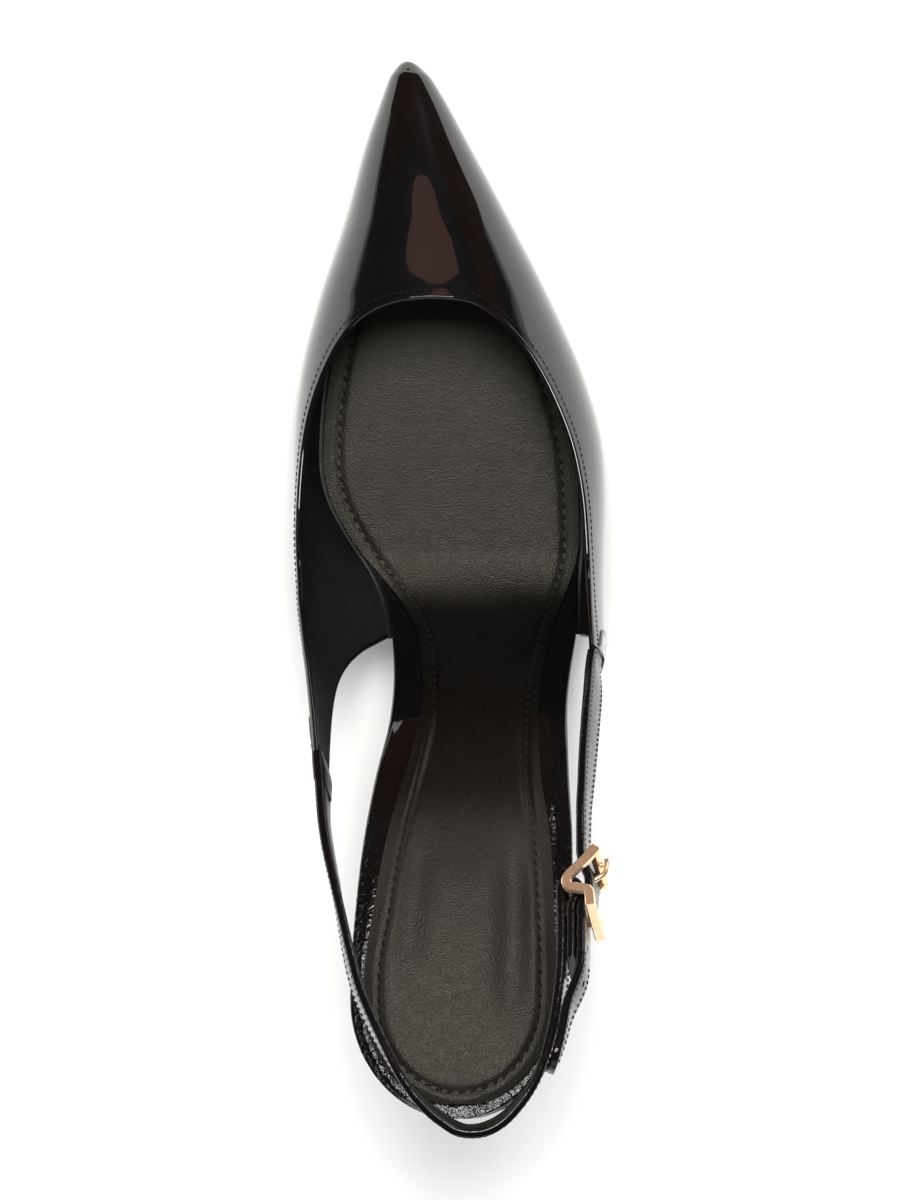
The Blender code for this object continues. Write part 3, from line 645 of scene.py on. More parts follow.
def join(shape, first, second):
    """Faces between two rings of vertices."""
    count = len(first)
    for k in range(count):
        after = (k + 1) % count
        shape.faces.new((first[k], first[after], second[after], second[k]))


def loft(name, rings, *surfaces, closed=False, ladder=False, sharp=50):
    """Closed solid through equal rings, or a ring of them."""
    shape = bmesh.new()
    made = [[shape.verts.new(point) for point in ring] for ring in rings]
    count = len(rings[0])
    pairs = list(zip(made, made[1:]))
    if closed:
        pairs.append((made[-1], made[0]))
    for first, second in pairs:
        join(shape, first, second)
    if not closed:
        for ring in (made[0], made[-1]):
            if not ladder:
                shape.faces.new(ring)
                continue
            for k in range(count // 2 - 1):
                shape.faces.new((ring[k], ring[k + 1], ring[-k - 2], ring[-k - 1]))
    bmesh.ops.recalc_face_normals(shape, faces=shape.faces)
    return new_piece(name, mesh_of(shape, name), *surfaces, sharp=sharp)


def swept(name, points, radius, surface, closed=False, sides=10):
    """Round line through points."""
    rings = []
    last = len(points) - 1
    side_before = None
    for k, point in enumerate(points):
        ahead = points[(k + 1) % len(points)] if closed else points[min(k + 1, last)]
        behind = points[k - 1] if closed else points[max(k - 1, 0)]
        forward = (ahead - behind).normalized()
        guide = side_before if side_before else (UP if abs(forward.z) < 0.9 else Vector((1, 0, 0)))
        side = (guide - forward * guide.dot(forward)).normalized()
        side_before = side
        other = forward.cross(side)
        turns = [2 * pi * j / sides for j in range(sides)]
        rings.append([point + (side * cos(t) + other * sin(t)) * radius for t in turns])
    return loft(name, rings, surface, closed=closed, sharp=60)


def shader_of(surface):
    """Inputs of a material's main shader."""
    return surface.node_tree.nodes["Principled BSDF"].inputs


def surface_with(name, colour, roughness, metallic=0.0):
    """Material with its main shader."""
    made = bpy.data.materials.new(name)
    made.use_nodes = True
    shader = made.node_tree.nodes["Principled BSDF"]
    shader.inputs["Base Color"].default_value = (*colour, 1)
    shader.inputs["Roughness"].default_value = roughness
    shader.inputs["Metallic"].default_value = metallic
    return made, made.node_tree, shader


def noise(tree, scale, detail, vector=None, roughness=0.5):
    """Noise in the piece's own metres."""
    node = tree.nodes.new("ShaderNodeTexNoise")
    node.inputs["Scale"].default_value = scale
    node.inputs["Detail"].default_value = detail
    node.inputs["Roughness"].default_value = roughness
    if vector:
        tree.links.new(vector, node.inputs["Vector"])
    return node.outputs["Fac"]


def place(tree):
    """Position on the piece, in metres."""
    return tree.nodes.new("ShaderNodeTexCoord").outputs["Object"]


def bump(tree, shader, height, distance, strength=1.0, after=None):
    """Adds relief to a shader."""
    node = tree.nodes.new("ShaderNodeBump")
    node.inputs["Distance"].default_value = distance
    node.inputs["Strength"].default_value = strength
    tree.links.new(height, node.inputs["Height"])
    if after:
        tree.links.new(after.outputs["Normal"], node.inputs["Normal"])
    tree.links.new(node.outputs["Normal"], shader.inputs["Normal"])
    return node


def spread(tree, value, low, high, start=0.0, end=1.0, smooth=False):
    """Maps a value that runs from start to end onto low to high."""
    node = tree.nodes.new("ShaderNodeMapRange")
    node.interpolation_type = "SMOOTHSTEP" if smooth else "LINEAR"
    for name, number in (("From Min", start), ("From Max", end), ("To Min", low), ("To Max", high)):
        node.inputs[name].default_value = number
    tree.links.new(value, node.inputs["Value"])
    return node.outputs["Result"]


def times(tree, first, second):
    """Product of two values."""
    node = tree.nodes.new("ShaderNodeMath")
    node.operation = "MULTIPLY"
    tree.links.new(first, node.inputs[0])
    tree.links.new(second, node.inputs[1])
    return node.outputs["Value"]


def axis(tree, vector, name):
    """X, Y or Z of a vector."""
    node = tree.nodes.new("ShaderNodeSeparateXYZ")
    tree.links.new(vector, node.inputs["Vector"])
    return node.outputs[name]


def ramp_of(tree, value, *stops):
    """Colour ramp with stops of (position, colour)."""
    node = tree.nodes.new("ShaderNodeValToRGB")
    for position, _ in stops[1:-1]:
        node.color_ramp.elements.new(position)
    for element, (position, colour) in zip(node.color_ramp.elements, stops):
        element.position = position
        element.color = (*colour, 1)
    tree.links.new(value, node.inputs["Fac"])
    return node.outputs["Color"]


def drift(tree, shader, pattern, dark, light):
    """Lets the base colour drift between two with a pattern."""
    tree.links.new(ramp_of(tree, pattern, (0.3, dark), (0.7, light)), shader.inputs["Base Color"])


def patent_surface(name="patent_leather", wrinkled_from=None, wrinkle=0.0):
    """Black patent leather: a clear coat over black leather, with faint waves, wrinkled behind a place."""
    made, tree, shader = surface_with(name, (0.0030, 0.0027, 0.0028), 0.3)
    shader.inputs["Specular IOR Level"].default_value = 0.03
    shader.inputs["Coat Weight"].default_value = 1.0
    shader.inputs["Coat Roughness"].default_value = 0.025
    shader.inputs["Coat IOR"].default_value = 1.6
    spot = place(tree)
    relief = bump(tree, shader, noise(tree, 70, 2, spot), 0.00006, 0.6)
    relief = bump(tree, shader, noise(tree, 700, 2, spot), 0.000004, 0.6, after=relief)
    if wrinkled_from is not None:
        behind = spread(tree, axis(tree, spot, "Y"), 0.0, 1.0, wrinkled_from, wrinkled_from - 0.05)
        folds = times(tree, behind, noise(tree, 640, 3, spot, 0.55))
        relief = bump(tree, shader, folds, wrinkle, 0.9, after=relief)
    tree.links.new(relief.outputs["Normal"], shader.inputs["Coat Normal"])
    tree.links.new(spread(tree, noise(tree, 260, 4, spot), 0.24, 0.38), shader.inputs["Roughness"])
    drift(tree, shader, noise(tree, 40, 3, spot), (0.0024, 0.0021, 0.0022), (0.0040, 0.0035, 0.0036))
    return made


def grain_height(tree, spot, size):
    """Leather grain: small cells with creases between them."""
    cells = tree.nodes.new("ShaderNodeTexVoronoi")
    cells.feature = "SMOOTH_F1"
    cells.inputs["Scale"].default_value = 1 / size
    cells.inputs["Smoothness"].default_value = 0.35
    cells.inputs["Randomness"].default_value = 1.0
    tree.links.new(spot, cells.inputs["Vector"])
    return cells.outputs["Distance"]


def outside_waist(tree, spot, least):
    """1 ahead of and behind the shoe's waist, and less over it, where the leather is drawn tight."""
    y = axis(tree, spot, "Y")
    shares = [spread(tree, y, 0.0, 1.0, outer, inner, smooth=True) for outer, inner in WAIST_EDGES]
    return spread(tree, times(tree, *shares), 1.0, least)


def lining_surface(name, dark, light, size, relief, rough, tight=1.0):
    """Smooth lining leather with a fine grain, finer and smoother over the waist where it is tight."""
    made, tree, shader = surface_with(name, dark, rough)
    spot = place(tree)
    loose = outside_waist(tree, spot, tight)
    coarse = bump(tree, shader, times(tree, grain_height(tree, spot, size), loose), relief, 0.7)
    bump(tree, shader, times(tree, noise(tree, 2600, 4, spot), loose), relief * 0.5, 0.6, after=coarse)
    drift(tree, shader, noise(tree, 55, 5, spot, 0.6), dark, light)
    polish = spread(tree, noise(tree, 320, 4, spot), rough - 0.07, rough + 0.08)
    eased = spread(tree, loose, 0.45, 1.0)
    tree.links.new(times(tree, polish, eased), shader.inputs["Roughness"])
    shader.inputs["Specular IOR Level"].default_value = 0.6
    return made


def noisy_surface(name, colour, roughness, tint, relief, polish=None, metallic=0.0):
    """Material whose colour, relief and polish each follow a noise of (scale, detail, roughness)."""
    made, tree, shader = surface_with(name, colour, roughness, metallic)
    spot = place(tree)

    def follow(scale, detail, rough):
        return noise(tree, scale, detail, spot, rough)

    pattern, dark, light = tint
    drift(tree, shader, follow(*pattern), dark, light)
    if polish:
        pattern, low, high = polish
        tree.links.new(spread(tree, follow(*pattern), low, high), shader.inputs["Roughness"])
    pattern, distance, strength = relief
    bump(tree, shader, follow(*pattern), distance, strength)
    return made


PATENT = patent_surface()
RIM_PATENT = patent_surface("patent_rim", -0.066, 0.0007)
LINING = lining_surface("lining", (0.0035, 0.0034, 0.0036), (0.006, 0.0056, 0.0056), 0.0007, 0.00004, 0.5)
SOCK_LEATHER = lining_surface(
    "sock_leather", (0.0024, 0.0021, 0.0019), (0.0038, 0.0034, 0.0031), 0.0004, 0.00016, 0.50, 0.2)
shader_of(SOCK_LEATHER)["Specular Tint"].default_value = (1.0, 0.94, 0.80, 1)
shader_of(SOCK_LEATHER)["Specular IOR Level"].default_value = 0.54
STRAP_PATENT = patent_surface("patent_strap", 0.0, 0.00014)
shader_of(STRAP_PATENT)["Coat Weight"].default_value = 0.5
THREAD = noisy_surface(
    "thread", (0.003, 0.003, 0.003), 0.55,
    tint=((700, 2, 0.5), (0.002, 0.002, 0.002), (0.006, 0.0055, 0.0055)),
    relief=((3800, 2, 0.5), 0.00006, 0.6))
shader_of(THREAD)["Specular IOR Level"].default_value = 0.2
GOLD = noisy_surface(
    "gold_metal", (0.95, 0.64, 0.42), 0.16, metallic=0.8,
    tint=((420, 4, 0.5), (0.92, 0.58, 0.36), (0.98, 0.72, 0.50)),
    polish=((1500, 4, 0.5), 0.10, 0.24), relief=((1200, 3, 0.5), 0.00002, 0.3))
SOLE = noisy_surface(
    "sole_leather", (0.02, 0.018, 0.016), 0.45,
    tint=((70, 5, 0.6), (0.014, 0.012, 0.011), (0.027, 0.024, 0.021)),
    polish=((500, 5, 0.5), 0.36, 0.55), relief=((1800, 5, 0.5), 0.00008, 0.5))
RUBBER = noisy_surface(
    "tip_rubber", (0.012, 0.012, 0.012), 0.6,
    tint=((200, 3, 0.5), (0.010, 0.010, 0.010), (0.017, 0.016, 0.016)),
    relief=((3000, 3, 0.5), 0.00006, 0.6))


def even_out(shape, verts):
    """Draws vertices halfway towards the middle of those beside them."""
    bmesh.ops.smooth_vert(shape, verts=verts, factor=0.5, use_axis_x=True, use_axis_y=True, use_axis_z=True)


def make_upper():
    """Toe box, vamp and both quarters as one wall, smooth enough for patent reflections."""
    rows = WALL_ROWS * FINE
    shape = bmesh.new()
    for side in ("in", "out"):
        lines = []
        for foot, head in upper_columns(side, FINE):
            line = []
            for row in range(rows + 1):
                rise = row / rows
                share = foot[0] + rise * (head[0] - foot[0])
                turn = foot[1] + rise * (head[1] - foot[1])
                line.append(shape.verts.new(upper_point(side, share, turn)))
            lines.append(line)
        for first, second in zip(lines, lines[1:]):
            for row in range(rows):
                corners = [first[row], second[row], second[row + 1], first[row + 1]]
                if side == "out":
                    corners.reverse()
                shape.faces.new(corners)
    bmesh.ops.remove_doubles(shape, verts=shape.verts, dist=0.00001)
    tip = [vert for vert in shape.verts if vert.co.y > TOE_TO_TREAD - TIP_ZONE and not vert.is_boundary]
    bmesh.ops.remove_doubles(shape, verts=tip, dist=TIP_MERGE)
    inner = [vert for vert in shape.verts if not vert.is_boundary]
    border = [vert.co.copy() for vert in shape.verts if vert.is_boundary]
    tree = KDTree(len(border))
    for k, spot in enumerate(border):
        tree.insert(spot, k)
    tree.balance()
    before = [vert.co.copy() for vert in inner]
    for _ in range(SMOOTHING_PASSES):
        even_out(shape, inner)
    for vert, spot in zip(inner, before):
        vert.co = spot.lerp(vert.co, blend(tree.find(spot)[2] / SMOOTH_RUN))
    tip = [vert for vert in inner if vert.co.y > TOE_TO_TREAD - TIP_ZONE]
    for _ in range(TIP_PASSES):
        even_out(shape, tip)
    upper = new_piece("upper_skin", mesh_of(shape, "upper_skin"), PATENT, LINING, sharp=80)
    shell = upper.modifiers.new("wall", "SOLIDIFY")
    shell.thickness = WALL
    shell.offset = -1
    shell.use_even_offset = True
    shell.material_offset = 1
    evaluated = upper.evaluated_get(bpy.context.evaluated_depsgraph_get())
    upper.data = bpy.data.meshes.new_from_object(evaluated)
    upper.modifiers.clear()
    upper.data.shade_smooth()
    upper.data.set_sharp_from_angle(angle=radians(60))
    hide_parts("upper")


def upper_normal(side, share, turn):
    """Outward direction of the upper's surface."""
    step = 0.002
    spot = upper_point(side, share, turn)
    ahead = upper_point(side, share - step, turn) - spot
    above = upper_point(side, share, min(turn + 5 * step, 1.0)) - upper_point(side, share, turn - 5 * step)
    normal = ahead.cross(above) if side == "out" else above.cross(ahead)
    return normal.normalized()


def edge_line(side, rows, count, depth=0.0, lift=0.0):
    """Points and normals along an edge of the upper: depth into the wall, lift down its face."""
    made = []
    for k in range(count + 1):
        share, turn = spline(rows, k / count)
        turn = min(turn, 1.0)
        spot = upper_point(side, share, turn)
        normal = upper_normal(side, share, turn)
        ahead = Vector(upper_point(side, *spline(rows, min(1.0, (k + 0.5) / count))))
        behind = Vector(upper_point(side, *spline(rows, max(0.0, (k - 0.5) / count))))
        run = (ahead - behind).normalized()
        down = normal.cross(run)
        if down.z > 0:
            down = -down
        made.append((spot - normal * depth + down * lift, normal))
    return made


def topline_run(count, depth=0.0, lift=0.0, reach=APEX_REACH):
    """The whole topline, from the inner quarter by the throat's middle to the outer one, evened there."""
    inner = edge_line("in", TOPLINE["in"], count, depth, lift)
    outer = edge_line("out", TOPLINE["out"], count, depth, lift)
    run = inner[::-1] + outer[1:]
    for _ in range(APEX_PASSES):
        for k in range(count - reach, count + reach + 1):
            spot = (run[k - 1][0] + 2 * run[k][0] + run[k + 1][0]) / 4
            normal = (run[k - 1][1] + 2 * run[k][1] + run[k + 1][1]).normalized()
            run[k] = (spot, normal)
    return run


def make_edges():
    """Rolled edge of the topline and of the two cut-outs."""
    top = [spot for spot, _ in topline_run(120, depth=WALL / 2, lift=ROLL_DROP)]
    swept("topline_roll", top, EDGE_ROLL, PATENT, sides=12)
    for side in ("in", "out"):
        cut = [spot for spot, _ in edge_line(side, CUT[side], 60, depth=WALL / 2)]
        swept(f"cut_roll_{side}", cut, EDGE_ROLL, PATENT, sides=12)


def make_flange():
    """Edge of the upper that is lasted in between the board and the sole."""
    for side, inward in (("in", 1), ("out", -1)):
        rings = []
        for k in range(FLANGE_STEPS + 1):
            share = FLANGE_FROM + (CUT[side][0][0] - FLANGE_FROM) * k / FLANGE_STEPS
            edge = across("sole_" + side, share) + inward * GAP
            deep = edge + inward * FLANGE
            top = feather_level(share) - upright(share, GAP) / 6
            low = feather_level(share) - upright(share, GAP) * 5 / 6
            y = along(share)
            corners = ((edge, low), (deep, low), (deep, top), (edge, top))
            rings.append([Vector((x, y, z)) for x, z in corners])
        loft(f"lasted_edge_{side}", rings, LINING)


def stitch_mesh(name, places, length, width, height, surface, slant=0.0):
    """Row of stitches: short rounded bars, each at a place with its direction and its surface's normal."""
    shape = bmesh.new()
    sides = 6
    for spot, run, normal in places:
        run = (run + normal.cross(run) * slant).normalized()
        across_run = normal.cross(run).normalized()
        rings = []
        for along_by, scale in ((-0.5, 0.35), (-0.36, 0.85), (0.0, 1.0), (0.36, 0.85), (0.5, 0.35)):
            ring = []
            sink = 0.45 * height * (1 - scale)
            for j in range(sides):
                turn = 2 * pi * j / sides
                point = spot + run * (along_by * length) + across_run * (cos(turn) * width / 2 * scale)
                point = point + normal * (sin(turn) * height / 2 * scale - sink)
                ring.append(shape.verts.new(point))
            rings.append(ring)
        for first, second in zip(rings, rings[1:]):
            join(shape, first, second)
        shape.faces.new(rings[0])
        shape.faces.new(rings[-1])
    bmesh.ops.recalc_face_normals(shape, faces=shape.faces)
    return new_piece(name, mesh_of(shape, name), surface, sharp=80)


def at_pitch(points, pitch):
    """Places at an even pitch along a dense line of (point, normal)."""
    made = []
    left = pitch / 2
    for (a, normal_a), (b, _) in zip(points, points[1:]):
        step = (b - a).length
        if step == 0:
            continue
        while left <= step:
            made.append((a.lerp(b, left / step), (b - a).normalized(), normal_a))
            left += pitch
        left -= step
    return made


def make_upper_stitches():
    """Fine stitch row below the topline."""
    dense = topline_run(300, lift=EDGE_STITCH, reach=24)
    row = stitch_mesh(
        "topline_stitches", at_pitch(dense, FINE_PITCH), 0.7 * FINE_PITCH, 0.0003, 0.00022, THREAD)


def layer_ring(share, inner, outer, bottom, top, edge_top, edge, crown=7):
    """Cross-section of a sole layer: flat middle, rounded edges that may sit lower than the middle."""
    y = along(share)
    width = outer - inner
    edge = min(edge, 0.3 * width)
    soft = 0.35 * (edge_top - bottom)
    slim = min(soft, 0.1 * width)
    middle = (inner + outer) / 2
    half = []
    for k in range(4):
        turn = pi / 2 * k / 3
        half.append((width / 2 - slim * (1 - sin(turn)), bottom + soft * (1 - cos(turn))))
    for k in range(4):
        turn = pi / 2 * k / 3
        half.append((width / 2 - slim * (1 - cos(turn)), edge_top - soft * (1 - sin(turn))))
    for k in range(1, crown + 1):
        u = k / crown
        half.append((width / 2 - slim - (edge - slim) * u, edge_top + (top - edge_top) * sin(pi / 2 * u)))
    half.append((0.3 * (width / 2 - edge), top))
    right = [Vector((middle + x, y, z)) for x, z in half]
    left = [Vector((middle - x, y, z)) for x, z in reversed(half)]
    return right + left


def make_outsole():
    """Outsole with its waist drawn in under the board."""
    front = (NOSE_ROUND + GAP) / LENGTH
    end = 1 - (BREAST + GAP) / LENGTH
    rings = []
    for share in stations(front, end, 90):
        drawn_in = (FEATHER_SET + WAIST_SET) * blend((share - WAIST_AT) / WAIST_RUN)
        inner, outer = outline(share, drawn_in, front, 1.0, 0.0)
        top = feather_level(share) - upright(share, GAP)
        bottom = top - upright(share, OUTSOLE)
        rings.append(layer_ring(share, inner, outer, bottom, top, top, SOLE_EDGE))
    sole = loft("sole_skin", rings, SOLE, ladder=True)
    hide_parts("outsole")


def make_board():
    """Board whose patent rim shows from the waist to the heel seat."""
    front = (WALL + NOSE_ROUND + BOARD_FRONT) / LENGTH
    rings = []
    for share in stations(front, 1.0, 120):
        inner, outer = outline(share, FEATHER_SET, front, 1.0, HEEL_ROUND)
        top = board_top(share)
        edge_top = top - RIM_DROP * blend((share - WAIST_AT) / WAIST_RUN)
        edge = max(BOARD_FRONT, BOARD_EDGE * RIM_WIDTH * read(RIM, "rim", share))
        rings.append(layer_ring(share, inner, outer, feather_level(share), top, edge_top, edge))
    board = loft("board_skin", rings, RIM_PATENT, ladder=True)
    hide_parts("insole_board")


def sock_edges(share, inset=0.0):
    """Inner and outer X of the sock, or of a line set in from its edge."""
    front = (WALL + NOSE_ROUND + SOCK_FRONT + inset) / LENGTH
    back = 1 - (RIM_BACK + inset) / LENGTH
    set_in = FEATHER_SET + RIM_WIDTH * read(RIM, "rim", share) + inset
    return outline(share, set_in, front, back, HEEL_ROUND - RIM_BACK - inset)


def hollow(share, across_share, depth, middle, run, across_middle, across_run):
    """Soft dip round a place on the sock."""
    a = (share - middle) / run
    b = (across_share - across_middle) / across_run
    return depth * exp(-(a ** 4) - (b * b))


def sock_base(share, across_share):
    """Height of the sock before the stitches pull it down. Across runs from inner (-1) to outer (1)."""
    front = (WALL + NOSE_ROUND + SOCK_FRONT) / LENGTH
    back = 1 - RIM_BACK / LENGTH
    low = 0.7 * SOCK
    bottom = board_top(share) + upright(share, GAP)
    ends = closed_in((back - share) * LENGTH, 2 * RIM_WIDTH) * closed_in((share - front) * LENGTH, RIM_WIDTH)
    inner, outer = sock_edges(share)
    to_edge = (1 - abs(across_share)) * (outer - inner) / 2
    swell = sin(pi / 2 * min(1.0, to_edge / SOCK_EDGE))
    dips = sum(hollow(share, across_share, *row) for row in HOLLOWS)
    rise = SOCK - low + PAD * read(RIM, "pad", share) * (1 - dips)
    return bottom + upright(share, low) + ends * swell * upright(share, rise)


def sock_point(share, x):
    """Point on the sock's surface, and its normal."""
    inner, outer = sock_edges(share)
    middle = (inner + outer) / 2
    half = max((outer - inner) / 2, 0.0001)
    spot = Vector((x, along(share), sock_base(share, (x - middle) / half)))
    step = 0.0008
    right = sock_base(share, min(1.0, (x + step - middle) / half))
    left = sock_base(share, max(-1.0, (x - step - middle) / half))
    ahead = sock_base(share - step / LENGTH, (x - middle) / half)
    behind = sock_base(min(share + step / LENGTH, 1.0), (x - middle) / half)
    normal = Vector((-(right - left) / (2 * step), -(ahead - behind) / (2 * step), 1)).normalized()
    return spot, normal


def seam_line():
    """Line of the sock's stitch row: down the inner side, round the back and up the outer side."""
    insets = table(
        "at inset",
        (0.24, 0.0040),
        (0.45, 0.0036),
        (0.53, 0.0028),
        (0.62, 0.0028),
        (0.72, 0.0036),
        (0.80, 0.0037),
        (0.88, 0.0033),
        (1.00, 0.0032),
    )
    back = 1 - (RIM_BACK + insets["inset"][-1]) / LENGTH
    start = insets["at"][0]
    shares = [start + (back - start) * sin(pi / 2 * k / 260) for k in range(261)]
    sides = ([], [])
    for share in shares:
        for side, x in zip(sides, sock_edges(share, read(insets, "inset", share))):
            side.append((share, x))
    return sides[0] + sides[1][::-1][1:]


def make_sock():
    """Padded sock lining with its hollows, drawn down along the stitch row."""
    front = (WALL + NOSE_ROUND + SOCK_FRONT) / LENGTH
    back = 1 - RIM_BACK / LENGTH
    seam = seam_line()
    tree = KDTree(len(seam))
    for k, (share, x) in enumerate(seam):
        tree.insert((x, along(share), 0), k)
    tree.balance()
    rings = []
    for share in stations(front, back, 260):
        inner, outer = sock_edges(share)
        y = along(share)
        bottom = board_top(share) + upright(share, GAP)
        middle = (inner + outer) / 2
        half = (outer - inner) / 2
        ring = [Vector((outer, y, bottom))]
        for k in range(SOCK_STEPS + 1):
            place_at = cos(pi * k / SOCK_STEPS) * 0.35 + (1 - 2 * k / SOCK_STEPS) * 0.65
            x = middle + half * place_at
            away = tree.find((x, y, 0))[2]
            groove = SEAM_DEPTH * exp(-(away / SEAM_HALF) ** 2)
            ring.append(Vector((x, y, sock_base(share, place_at) - groove)))
        ring.append(Vector((inner, y, bottom)))
        rings.append(ring)
    sock = loft("sock_skin", rings, SOCK_LEATHER)
    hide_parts("sock_lining")
    dense = [sock_point(share, x) for share, x in seam]
    dense = [(spot - normal * (SEAM_DEPTH * 0.75), normal) for spot, normal in dense]
    row = stitch_mesh(
        "sock_stitches", at_pitch(dense, SEAM_PITCH), 0.62 * SEAM_PITCH, 0.00072, 0.0005,
        THREAD, STITCH_SLANT)


def make_heel():
    """Slim patent heel."""
    foot = TIP_HEIGHT + GAP
    seat = heel_ring(HEEL["half"][-1], HEEL["front"][-1], HEEL["back"][-1], HEEL["full"][-1], 28)
    tops = [feather_level((TOE_TO_TREAD - y) / LENGTH) - GAP for _, y in seat]
    rings = []
    levels = [k / 48 for k in range(49)]
    for up in levels:
        section = heel_ring(*(read(HEEL, name, up, "up") for name in ("half", "front", "back", "full")), 28)
        rings.append([Vector((x, y, foot + up * (top - foot))) for (x, y), top in zip(section, tops)])
    for ring in rings:
        ring.append((ring[0] + ring[-1]) / 2)
        ring.insert(0, ring.pop())
    heel = loft("heel_skin", rings, PATENT, ladder=True, sharp=40)
    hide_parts("heel")


def band_ring(spot, outward, upward, width, thickness, corner=4):
    """Cross-section of a strap with round edges."""
    out = thickness / 2
    up = width / 2
    soft = min(BAND_SOFT, 0.45 * thickness, 0.45 * width)
    points = []
    for out_sign, up_sign, start in ((1, 1, 0), (-1, 1, 1), (-1, -1, 2), (1, -1, 3)):
        for k in range(corner):
            turn = pi / 2 * (start + k / (corner - 1))
            a = out_sign * (out - soft) + soft * cos(turn)
            b = up_sign * (up - soft) + soft * sin(turn)
            points.append(spot + outward * a + upward * b)
    return points


def band_rings(places):
    """Cross-sections of a strap at places on its path."""
    return [band_ring(spot, outward, upward, STRAP_WIDTH, STRAP) for spot, _, outward, upward in places]


def cut_with(target, tool):
    """Takes one object out of another."""
    change = target.modifiers.new("cut", "BOOLEAN")
    change.object = tool
    evaluated = target.evaluated_get(bpy.context.evaluated_depsgraph_get())
    mesh = bpy.data.meshes.new_from_object(evaluated)
    target.modifiers.remove(change)
    target.data = mesh
    mesh.shade_smooth()
    mesh.set_sharp_from_angle(angle=radians(50))
    bpy.data.objects.remove(tool)


def guide_tube(points, radius):
    """Round bar that only cuts."""
    return swept("cut_bar", points, radius, None, sides=16)


def quarter_lap(side, extra=0.0):
    """Rings of a strap's end on the outside of a quarter, from its tip to the quarter's end."""
    back = LAP_BACK[side]
    rings = []
    for k in range(LAP_STEPS):
        left = 1 - k / LAP_STEPS
        low = spline(CUT[side], 1 - back[0] * left)
        high = spline(TOPLINE[side], 1 - back[1] * left)
        height = (upper_point(side, *high) - upper_point(side, *low)).length
        thick = STRAP + (LAP_THICK - STRAP) * blend(left * 1.5) + extra
        proud = LAP_PROUD * blend(left * 2) + extra / 2
        width = STRAP_WIDTH * closed_in((1 - left) * LAP_LENGTH + LAP_END, LAP_ROUND) + extra
        ring = []
        for out, _, up in band_ring(Vector(), Vector((1, 0, 0)), UP, width, thick):
            rise = 0.5 + up / height
            share = low[0] + (high[0] - low[0]) * rise
            turn = min(low[1] + (high[1] - low[1]) * rise, 1.0)
            outward = upper_normal(side, share, turn)
            ring.append(upper_point(side, share, turn) + outward * (out + proud - thick / 2))
        rings.append(ring)
    return rings


def make_sling():
    """Strap from the inner quarter round the back, folded round the buckle's middle bar."""
    places = sling_frames()
    points = path_dense(places, 150)
    rings = quarter_lap("in")
    rings += band_rings(points)
    _, forward, outward, upward = places[-1]
    turns = 14
    for k in range(1, turns):
        turn = pi * k / turns
        ray = forward * sin(turn) - outward * cos(turn)
        middle = from_bar(0, 0, 0) + ray * fold_radius()
        rings.append(band_ring(middle, -ray, upward, STRAP_WIDTH, STRAP))
    steps = 20
    for k in range(steps + 1):
        distance = DOUBLED * k / steps
        spot, _, outward, upward = place_behind(places, distance)
        rings.append(band_ring(spot + outward * lap(distance), -outward, upward, STRAP_WIDTH, STRAP))
    sling = loft("sling_skin", rings, STRAP_PATENT)
    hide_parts("sling_strap")
    strap_stitches("sling_stitches", points[4:])
    tab = quarter_lap("in", TAB_PROUD)[-3:]
    run = 0.0
    for (before, *_), (spot, _, outward, upward) in zip(points, points[1:]):
        run += (spot - before).length
        if run > TAB:
            break
        tab.append(band_ring(spot, outward, upward, STRAP_WIDTH + TAB_PROUD, STRAP + TAB_PROUD))
    loft("quarter_tab", tab, STRAP_PATENT)


def strap_stitches(name, places):
    """Stitch row near each edge of a strap's outer face."""
    for sign in (-1, 1):
        dense = []
        for spot, _, outward, upward in places:
            at_edge = upward * (sign * (STRAP_WIDTH / 2 - STRAP_SEAM))
            dense.append((spot + outward * (STRAP / 2) + at_edge, outward))
        row = stitch_mesh(
            f"{name}_{'upper' if sign > 0 else 'lower'}", at_pitch(dense, STRAP_PITCH),
            0.62 * STRAP_PITCH, 0.0004, 0.00034, THREAD)


def path_dense(places, count):
    """More places on a strap's path, on the smooth curve through those it has."""
    rows = [(*spot, *forward, *outward, *upward) for spot, forward, outward, upward in places]
    made = []
    for k in range(count + 1):
        row = spline(rows, k / count)
        made.append((Vector(row[:3]), *(Vector(row[k:k + 3]).normalized() for k in (3, 6, 9))))
    return made


def make_buckle_strap():
    """Front strap and its free end, through the buckle."""
    rings = []
    steps = 60
    for k in range(steps):
        distance = TAIL * (1 - (k / steps) ** 1.2)
        spot, _, outward, upward = tail_place(distance)
        width = STRAP_WIDTH * closed_in(TAIL - distance + GAP, TAIL_ROUND)
        rings.append(band_ring(spot, outward, upward, width, STRAP))
    rings += band_rings(path_dense(front_frames(), 100)) + quarter_lap("out")[::-1]
    strap = loft("front_strap_skin", rings, STRAP_PATENT)
    strap_stitches("front_stitches", path_dense(front_frames(), 160)[22:])
    strap_stitches("tail_stitches", [tail_place(TAIL_SEWN * k / 90) for k in range(36, 91)])
    for behind in HOLES_BEHIND:
        distance = HOLE_PITCH * behind - PRONG_HOLE
        spot, _, outward, _ = tail_place(distance) if distance > 0 else front_place(-distance)
        cut_with(strap, guide_tube([spot - outward * STRAP, spot + outward * STRAP], HOLE))
    cut_with(strap, guide_tube(prong_line(BAR), PRONG + GAP))
    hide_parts("buckle_strap")


